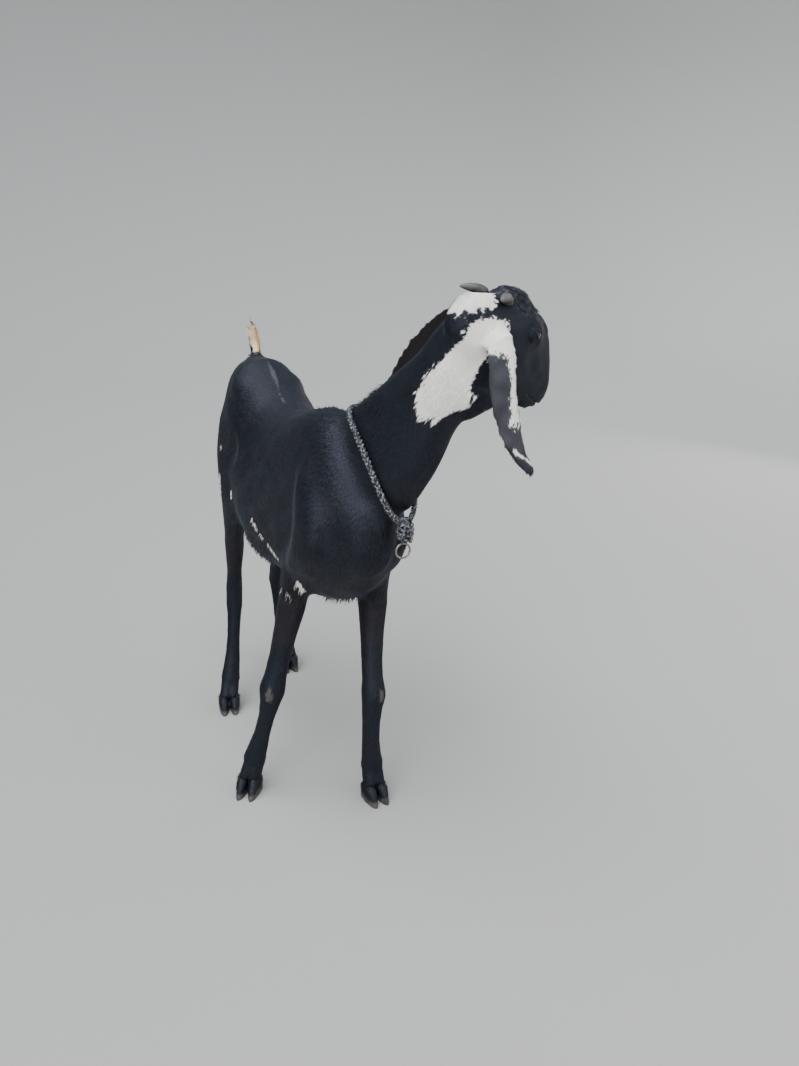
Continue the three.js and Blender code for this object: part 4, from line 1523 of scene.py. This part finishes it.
@dataclass
class Coat:
    """Tufts of hair over the whole skin, in pieces by part, each tuft a thin closed sliver."""

    hair: bpy.types.Material
    growths: tuple[Growth, ...] = (
        Growth("head", 60.0, 5.0, 0.95, 5.0),
        Growth("neck", 27.0, 11.0, 1.25, 3.6),
        Growth("trunk", 14.5, 13.0, 1.55, 3.2),
        Growth("upper_leg", 24.0, 9.0, 1.2, 5.0),
        Growth("lower_leg", 34.0, 7.5, 1.0, 6.0),
        Growth("tail", 60.0, 15.0, 1.2, 3.0),
        Growth("ear", 48.0, 5.8, 1.0, 4.0),
    )
    coronet_growth: Growth = Growth("", 70.0, 8.0, 1.1, 3.5)
    tresses: tuple[Tress, ...] = (
        Tress((90, -30, 745), (45, 50, 36), 2.0, 5.0),
        Tress((52, 55, 712), (34, 60, 26), 2.0, 4.0),
        Tress((60, 40, 385), (60, 90, 30), 6.0, 6.0),
        Tress((40, 250, 382), (70, 170, 30), 4.0, 4.0),
        Tress((-30, 70, 420), (40, 40, 40), 5.0, 5.0),
        Tress((10, 520, 560), (90, 60, 150), 5.0, 3.0),
        Tress((96, -100, 560), (60, 40, 60), 3.0, 3.0),
    )
    locks: tuple[Locks, ...] = (
        Locks("forelock", "head", "head", (246, -160, 892), (44, 40, 26), 9.0, 1000, 12.0, 1.7, Lie.CURLED),
        Locks("bridge", "head", "head", (290, -140, 862), (34, 30, 24), 5.0, 700, 7.0, 1.1, Lie.CURLED),
        Locks("crest", "neck", "body", (92, -20, 742), (34, 70, 34), 14.0, 420, 13.0, 1.4, Lie.WAVED),
        Locks("withers", "trunk", "body", (50, 55, 712), (26, 60, 22), 10.0, 340, 13.0, 1.4, Lie.WAVED),
        Locks("chest", "trunk", "body", (74, 30, 392), (56, 70, 26), 14.0, 420, 19.0, 1.5, Lie.HANGING),
        Locks("elbow", "trunk", "body", (-22, 60, 420), (34, 46, 36), 12.0, 260, 16.0, 1.4, Lie.HANGING),
        Locks("flank", "trunk", "body", (-50, 230, 424), (46, 90, 34), 10.0, 420, 15.0, 1.4, Lie.HANGING),
        Locks("tail_end", "tail", "tail", (0, 505, 810), (40, 40, 40), 5.0, 260, 15.0, 1.2, Lie.WAVED),
    )
    # the lines that the hair follows, from root to tip: on the head in its own frame
    head_bones: tuple[Bone, ...] = (
        ((205, 0, -50), (120, 0, 6)),
        ((120, 0, 6), (0, 0, 0)),
        ((190, 0, -90), (40, 0, -130)),
        ((110, 40, -50), (30, 48, -110)),
        ((110, -40, -50), (30, -48, -110)),
    )
    body_bones: tuple[Bone, ...] = (
        ((196, -180, 905), (100, 10, 760)),
        ((205, -190, 880), (203, -232, 862)),
        ((196, -165, 885), (182, -140, 876)),
        ((182, -205, 850), (120, -120, 700)),
        ((200, -175, 770), (130, -150, 650)),
        ((130, -150, 650), (80, -130, 470)),
        ((100, 10, 760), (50, 200, 700)),
        ((50, 200, 700), (14, 470, 760)),
        ((-30, 0, 640), (-40, 60, 460)),
        ((140, 0, 640), (130, 60, 460)),
        ((-60, 120, 640), (-60, 260, 430)),
        ((150, 120, 640), (150, 260, 430)),
        ((-60, 330, 640), (-80, 420, 430)),
        ((100, 330, 640), (100, 440, 430)),
        ((60, 20, 385), (40, 330, 380)),
        ((8, 540, 740), (8, 540, 470)),
    )
    patch: float = 0.003
    evenness: float = 0.72
    # a tuft's corners are its root, left, ridge, right and tip
    sliver: Strand = Strand(
        ((0, 2, 1), (0, 3, 2), (0, 1, 3), (4, 1, 2), (4, 2, 3), (4, 3, 1)),
        ((0.0, 0.5), (0.4, 1.0), (0.4, 0.5), (0.4, 0.0), (1.0, 0.5)),
    )
    lock_steps: int = 6

    def bones(self) -> dict[str, list[Bone]]:
        """Returns the lines that the hair follows on each part, in metres."""
        lines = {
            "head": [(HEAD.world(start), HEAD.world(end)) for start, end in self.head_bones],
            "body": [(place(start), place(end)) for start, end in self.body_bones],
        }
        for name in ("tail", "ear_right", "ear_left"):
            lines[name] = [node_axis(name, down=name != "tail")]
        for leg in LEGS:
            lines[leg] = [node_axis(f"{leg}_upper_leg"), node_axis(f"{leg}_lower_leg")]
            lines["body"].append(lines[leg][0])
        return lines

    def lay(self, roots: Roots, part: str) -> None:
        """Lays the hair along the skin, after the bones of a part."""
        points, normals = roots.at, roots.normals
        total = np.zeros_like(points)
        for start, end in self.lines[part]:
            edge = np.array(end) - np.array(start)
            step = np.clip(((points - start) @ edge) / (edge @ edge), 0, 1)
            away = np.linalg.norm(points - start - step[:, None] * edge, axis=1)
            total += unit(edge) / (away[:, None] + 0.012) ** 3
        total = unit(total)
        total = unit(total - normals * (total * normals).sum(axis=1, keepdims=True))
        swirl = (0.12 * ripple(points, 0.055) + 0.06 * ripple(points, 0.017, 3.0))[:, None]
        roots.flow = unit(total * np.cos(swirl) + np.cross(normals, total) * np.sin(swirl))

    def build(self, skin: bpy.types.Object, regions: RegionReader, eyes: Sequence[EyeShape]) -> None:
        """Grows the coat on a finished skin.

        Args:
            skin: The skin, in its final shape.
            regions: Says which part a place is on.
            eyes: The eyes, with the shortest hair round them.
        """
        self.lines = self.bones()
        self.places = [*self.tresses, *self.short_places(eyes)]
        self.random = np.random.default_rng(SEED)
        self.unwrap = SkinUnwrap(skin)
        faces = SkinFaces(skin)
        region = regions.read(faces.centres)
        mark = Markings()
        for node in flesh_names():
            growth = next(g for g in self.growths if g.part in node)
            roots = faces.scatter(region == node, growth.density, self.random)
            roots.keep(roots.bare < 0.4)
            leg = node.rsplit("_", 2)[0]
            self.lay(roots, leg if leg in LEGS else "body" if node in ("neck", "trunk") else node)
            # a tuft takes its colour from the place that its middle lies over
            roots.marks = mark.read(roots.at + roots.flow * growth.length * 0.5 * MM, regions.read(roots.at))
            roots.marks["white"] = (roots.marks["white"] > 0.5).astype(float)
            self.tufts(f"coat_{node}", roots, growth)
        for leg in LEGS:
            self.coronet(leg)
        for patch in self.locks:
            spot = Tress(patch.at, patch.radii, 0.0, patch.lift)
            weight = spot.reach(faces.centres) * (region == patch.node)
            grown = float((faces.area_cm2 * weight).sum())
            roots = faces.scatter(weight > 0, weight * patch.count / grown, self.random)
            roots.marks = mark.read(roots.at, regions.read(roots.at))
            self.lay(roots, patch.bones)
            self.long_locks(patch, roots)

    def short_places(self, eyes: Sequence[EyeShape]) -> Iterator[Tress]:
        """Yields the places with shorter hair, round the eyes and muzzle, and the feet with longer."""
        for eye in eyes:
            yield Tress(tuple(to_goat(eye.middle)), (30.0, 30.0, 30.0), -3.4, -2.5)
        yield Tress(tuple(to_goat(HEAD.world((198, 0, -58)))), (32.0, 32.0, 32.0), -3.6, -3.0)
        for leg in LEGS:
            low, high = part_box(f"{leg}_lower_leg")
            foot = to_goat(np.array([(low.x + high.x) / 2, low.y + 0.03, low.z + 0.008]))
            yield Tress(tuple(foot), (60.0, 60.0, 18.0), 7.0, 2.0)

    def coronet(self, leg: str) -> None:
        """Grows the hair that hangs over the upper part of a foot's claws."""
        growth, down = self.coronet_growth, np.array([0.0, -0.25, -1.0])
        feet = []
        for side in SIDES:
            claw = SkinFaces(bpy.data.objects[f"{leg}_claw_{side}_horn"])
            feet.append(claw.scatter(claw.area_cm2 > 0, growth.density, self.random))
        for number, roots in enumerate(feet):
            height = roots.at[:, 2] / MM + 3 * ripple(roots.at, 0.012)
            roots.keep((height > BARE_CLAW) & (roots.normals[:, 2] < 0.7))
            roots.flow = unit(down - roots.normals * (roots.normals @ down)[:, None])
            self.tufts(f"coat_{leg}_coronet_{number + 1}", roots, growth)

    def tufts(self, name: str, roots: Roots, growth: Growth) -> None:
        """Makes one piece of coat, or several of up to TUFTS_IN_A_PIECE tufts each."""
        count, random, normals = len(roots.at), self.random, roots.normals
        length = growth.length * random.uniform(0.75, 1.25, count)
        lift = np.radians(growth.lift) * random.uniform(0.5, 1.5, count)
        for tress in self.places:
            reach = tress.reach(roots.at)
            length = length + tress.longer * reach
            lift = lift + np.radians(tress.lift) * reach
        length = (np.maximum(length, 2.0) * MM)[:, None]
        rise = normals * np.tan(np.maximum(lift, math.radians(1.5)))[:, None]
        turn = random.normal(0, 0.06, count)[:, None]
        ahead = roots.flow * np.cos(turn) + np.cross(normals, roots.flow) * np.sin(turn)
        half = (growth.width / 2 * random.uniform(0.7, 1.25, count) * MM)[:, None]
        side = np.cross(normals, ahead) * half
        middle, _ = roots.over(roots.at + (ahead + rise) * length * 0.42, 0.3 * MM)
        tip, _ = roots.over(roots.at + (ahead + rise * 0.72) * length, 0.25 * MM)
        ridge = middle + normals * (half * 0.35 + 0.12 * MM)
        corners = np.stack([roots.at - normals * 0.9 * MM, middle + side, ridge, middle - side, tip], axis=1)
        tint = random.normal(0.45, 0.22, count) + 0.15 * ripple(roots.at, 0.03, 1.0)
        marks = {**roots.marks, "tint": np.clip(tint, 0, 1)}
        uv = self.unwrap.read(roots.at)
        parts = max(1, math.ceil(count / TUFTS_IN_A_PIECE))
        for number in range(parts):
            part = slice(number, None, parts)
            title = name if parts == 1 else f"{name}_{number + 1}"
            chosen = {key: share[part] for key, share in marks.items()}
            self.mesh_piece(title, corners[part], self.sliver, chosen, uv[part], normals[part])

    def long_locks(self, patch: Locks, roots: Roots) -> None:
        """Makes a patch of long locks, each a tapering three-sided strand that stays off the skin."""
        count, steps, random = len(roots.at), self.lock_steps, self.random
        length = patch.length * random.uniform(0.6, 1.2, count) * MM
        half = patch.width / 2 * random.uniform(0.7, 1.2, count) * MM
        lift = np.radians(patch.lift) * random.uniform(0.4, 1.4, count)
        phase = 1.6 * ripple(roots.at, 0.02, 1.0) + random.normal(0, 0.4, count)
        bend, drop = patch.lie.value
        here, out, heading = roots.at - roots.normals * 0.8 * MM, roots.normals, roots.flow
        rings = []
        for step in range(steps + 1):
            side = unit(np.cross(out, heading))
            up = np.cross(heading, side)
            size = half * (1.0 - (step / steps) ** 2 * 0.85)
            for corner in range(3):
                angle = 2 * math.pi * corner / 3
                offset = side * math.cos(angle) + up * math.sin(angle) * 0.7
                rings.append(here + offset * size[:, None])
            wave = np.sign(phase) if patch.lie is Lie.CURLED else np.cos(phase + 2 * math.pi * step / steps)
            turn = (bend * wave)[:, None]
            heading = heading * np.cos(turn) + side * np.sin(turn)
            rise = np.tan(lift * (1.0 - 1.3 * step / steps))[:, None]
            heading = unit(heading + out * rise - np.array([0, 0, drop]) * (step / steps))
            here, out = roots.over(here + heading * (length / steps)[:, None], half * 0.8 + 0.2 * MM)
        last = 3 * steps
        pattern = [(0, 2, 1)]
        for a in range(last):
            b = a + 1 if a % 3 < 2 else a - 2
            pattern += [(a, b, b + 3), (a, b + 3, a + 3)]
        pattern += [(last + k, last + (k + 1) % 3, last + 3) for k in range(3)]
        spots = [((number // 3) / (steps + 1), (number % 3) / 2) for number in range(last + 3)] + [(1.0, 0.5)]
        marks = {**roots.marks, "tint": np.clip(random.normal(0.5, 0.25, count), 0, 1)}
        corners = np.stack([*rings, here], axis=1)
        uv = self.unwrap.read(roots.at)
        self.mesh_piece(f"coat_{patch.name}", corners, Strand(pattern, spots), marks, uv, roots.normals)

    def mesh_piece(
        self,
        title: str,
        corners: np.ndarray,
        strand: Strand,
        marks: dict[str, np.ndarray],
        uv: np.ndarray,
        out: np.ndarray,
    ) -> None:
        """Turns the tufts' corners into one mesh with its marks and its bake map.

        Args:
            title: The piece's name.
            corners: The corners of each tuft.
            strand: One tuft's mesh.
            marks: The colour shares for each tuft.
            uv: Each root's place on the unwrapped skin.
            out: The skin's normal at each root, which evens out the light on the coat.
        """
        count, each = corners.shape[:2]
        faces = (np.array(strand.triangles)[None] + each * np.arange(count)[:, None, None]).reshape(-1, 3)
        mesh = bpy.data.meshes.new(title)
        mesh.vertices.add(count * each)
        mesh.vertices.foreach_set("co", corners.reshape(-1).astype(np.float32))
        mesh.loops.add(len(faces) * 3)
        mesh.loops.foreach_set("vertex_index", faces.ravel().astype(np.int32))
        mesh.polygons.add(len(faces))
        mesh.polygons.foreach_set("loop_start", np.arange(0, len(faces) * 3, 3, dtype=np.int32))
        for key, share in marks.items():
            write_attribute(mesh, key, np.repeat(share, each))
        bake = mesh.uv_layers.new(name="OFBake")
        corner_uv = uv[:, None, :] + (np.array(strand.spots)[None] - 0.5) * self.patch
        bake.data.foreach_set("uv", corner_uv.reshape(-1, 2)[faces.ravel()].ravel().astype(np.float32))
        mesh.update(calc_edges=True)
        own = rows_of(mesh.vertex_normals, "vector", 3)
        blend = unit(own * (1 - self.evenness) + np.repeat(out, each, axis=0) * self.evenness)
        mesh.normals_split_custom_set_from_vertices(blend.tolist())
        slots = {"coat_tail": "white_coat", "coat_ear_right": "ear_coat", "coat_ear_left": "ear_coat"}
        finish_piece(new_object(title, mesh), self.hair, slots.get(title, "coat"))


# ---------------------------------------------------------------- the stage
@dataclass
class Studio:
    """A pale floor that curves up behind, soft light, and a camera at a standing viewer's height."""

    camera_at: Triple = (-309.2, -1229.7, 950.5)
    yaw: float = 20.544
    pitch: float = 18.607
    roll: float = 1.758
    lens: float = 27.42
    floor: str = "#A09E9B"
    sky: str = "#D3DCEA"
    sky_strength: float = 0.95

    def build(self) -> None:
        """Makes the floor, the lights and the camera."""
        self.make_floor()
        self.make_lights()
        self.make_camera()

    def make_floor(self) -> None:
        """Makes the floor as one sheet whose far side rises in a curve."""
        deselect_all()
        bpy.ops.mesh.primitive_plane_add(size=18.0, location=(0, 0, -0.0002))
        sheet = bpy.context.object
        with editing(sheet, "DESELECT"):
            bpy.ops.mesh.select_mode(type="EDGE")  # so that three chosen sides don't take in the whole face
            bpy.ops.mesh.select_all(action="DESELECT")
        for edge in sheet.data.edges:
            edge.select = any(sheet.data.vertices[i].co.y > 0 for i in edge.vertices)
        bpy.ops.object.mode_set(mode="EDIT")
        bpy.ops.mesh.extrude_region_move(TRANSFORM_OT_translate={"value": (0, 0, 9.0)})
        bpy.ops.mesh.select_mode(type="VERT")
        bpy.ops.object.mode_set(mode="OBJECT")
        apply_modifier(sheet, "BEVEL", width=4.0, segments=20, limit_method="ANGLE")
        settle(sheet, "studio_floor")
        bpy.ops.object.shade_smooth()
        paper = {"Base Color": linear(self.floor), "Roughness": 0.9}
        sheet.data.materials.append(new_material("studio_paper", paper)[0])

    def make_lights(self) -> None:
        """Hangs a soft lamp on the viewer's side, a fill and one on the left, under an even pale sky."""
        lamps = (
            ("viewer_side", "AREA", (-2.4, -2.6, 1.7), 0.5, 56.0, (1.0, 0.99, 0.97), {"size": 2.2}),
            ("fill", "AREA", (2.2, -2.2, 1.6), 0.5, 32.0, (1.0, 0.98, 0.95), {"size": 2.0}),
            ("left", "AREA", (3.0, 1.4, 1.3), 0.5, 20.0, (1.0, 0.95, 0.98), {"size": 2.0}),
            ("open_sky", "SUN", (-1.2, -0.6, 3.0), 0.4, 5.2, (0.93, 0.97, 1.0), {"angle": math.radians(75)}),
        )
        for name, kind, at, aim_height, power, colour, spread_of in lamps:
            deselect_all()
            bpy.ops.object.light_add(type=kind, location=at)
            lamp = bpy.context.object
            lamp.name = name
            for key, value in {"energy": power, "color": colour, **spread_of}.items():
                setattr(lamp.data, key, value)
            aim = Vector((0.0, 0.0, aim_height)) - Vector(at)
            lamp.rotation_euler = aim.to_track_quat("-Z", "Y").to_euler()
        world = bpy.data.worlds.new("sky")
        world.use_nodes = True
        tree = world.node_tree
        sky = {"Color": linear(self.sky), "Strength": self.sky_strength}
        fill_sockets(tree, tree.nodes["Background"], sky)
        bpy.context.scene.world = world

    def make_camera(self) -> None:
        """Sets the camera at its place, turned by its yaw, pitch and roll."""
        yaw, pitch, roll = (math.radians(a) for a in (self.yaw, self.pitch, self.roll))
        right = Vector((math.cos(yaw), -math.sin(yaw), 0))
        ahead = Vector((math.cos(pitch) * math.sin(yaw), math.cos(pitch) * math.cos(yaw), -math.sin(pitch)))
        up = right.cross(ahead)
        right, up = right * math.cos(roll) + up * math.sin(roll), up * math.cos(roll) - right * math.sin(roll)
        data = bpy.data.cameras.new("viewer")
        data.lens = self.lens
        data.sensor_width = 36.0
        data.sensor_fit = "AUTO"
        camera = new_object("viewer", data)
        turn = Matrix((right, up, -ahead)).transposed().to_4x4()
        camera.matrix_world = Matrix.Translation(Vector(place(self.camera_at))) @ turn
        bpy.context.scene.camera = camera


def main() -> None:
    """Builds every piece in order."""
    logging.basicConfig(level=logging.INFO, format="%(name)s %(message)s")
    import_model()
    Studio().build()
    hair = GoatHair().build()
    skin_finish = GoatSkin().build()
    eyes = [EyeShape(side) for side in SIDES]
    skin_maker = Skin()
    skin = skin_maker.build(eyes)
    finish_piece(skin, skin_finish, "coat", *flesh_names())
    Eyes(eyes).build(WetEye().build(), skin_finish)
    Horns().build(Horn().build())
    Hooves().build(Hoof().build())
    Collar().build(Cord().build(), WornSteel().build())
    Coat(hair).build(skin, skin_maker.regions, eyes)


if __name__ == "__main__":
    main()
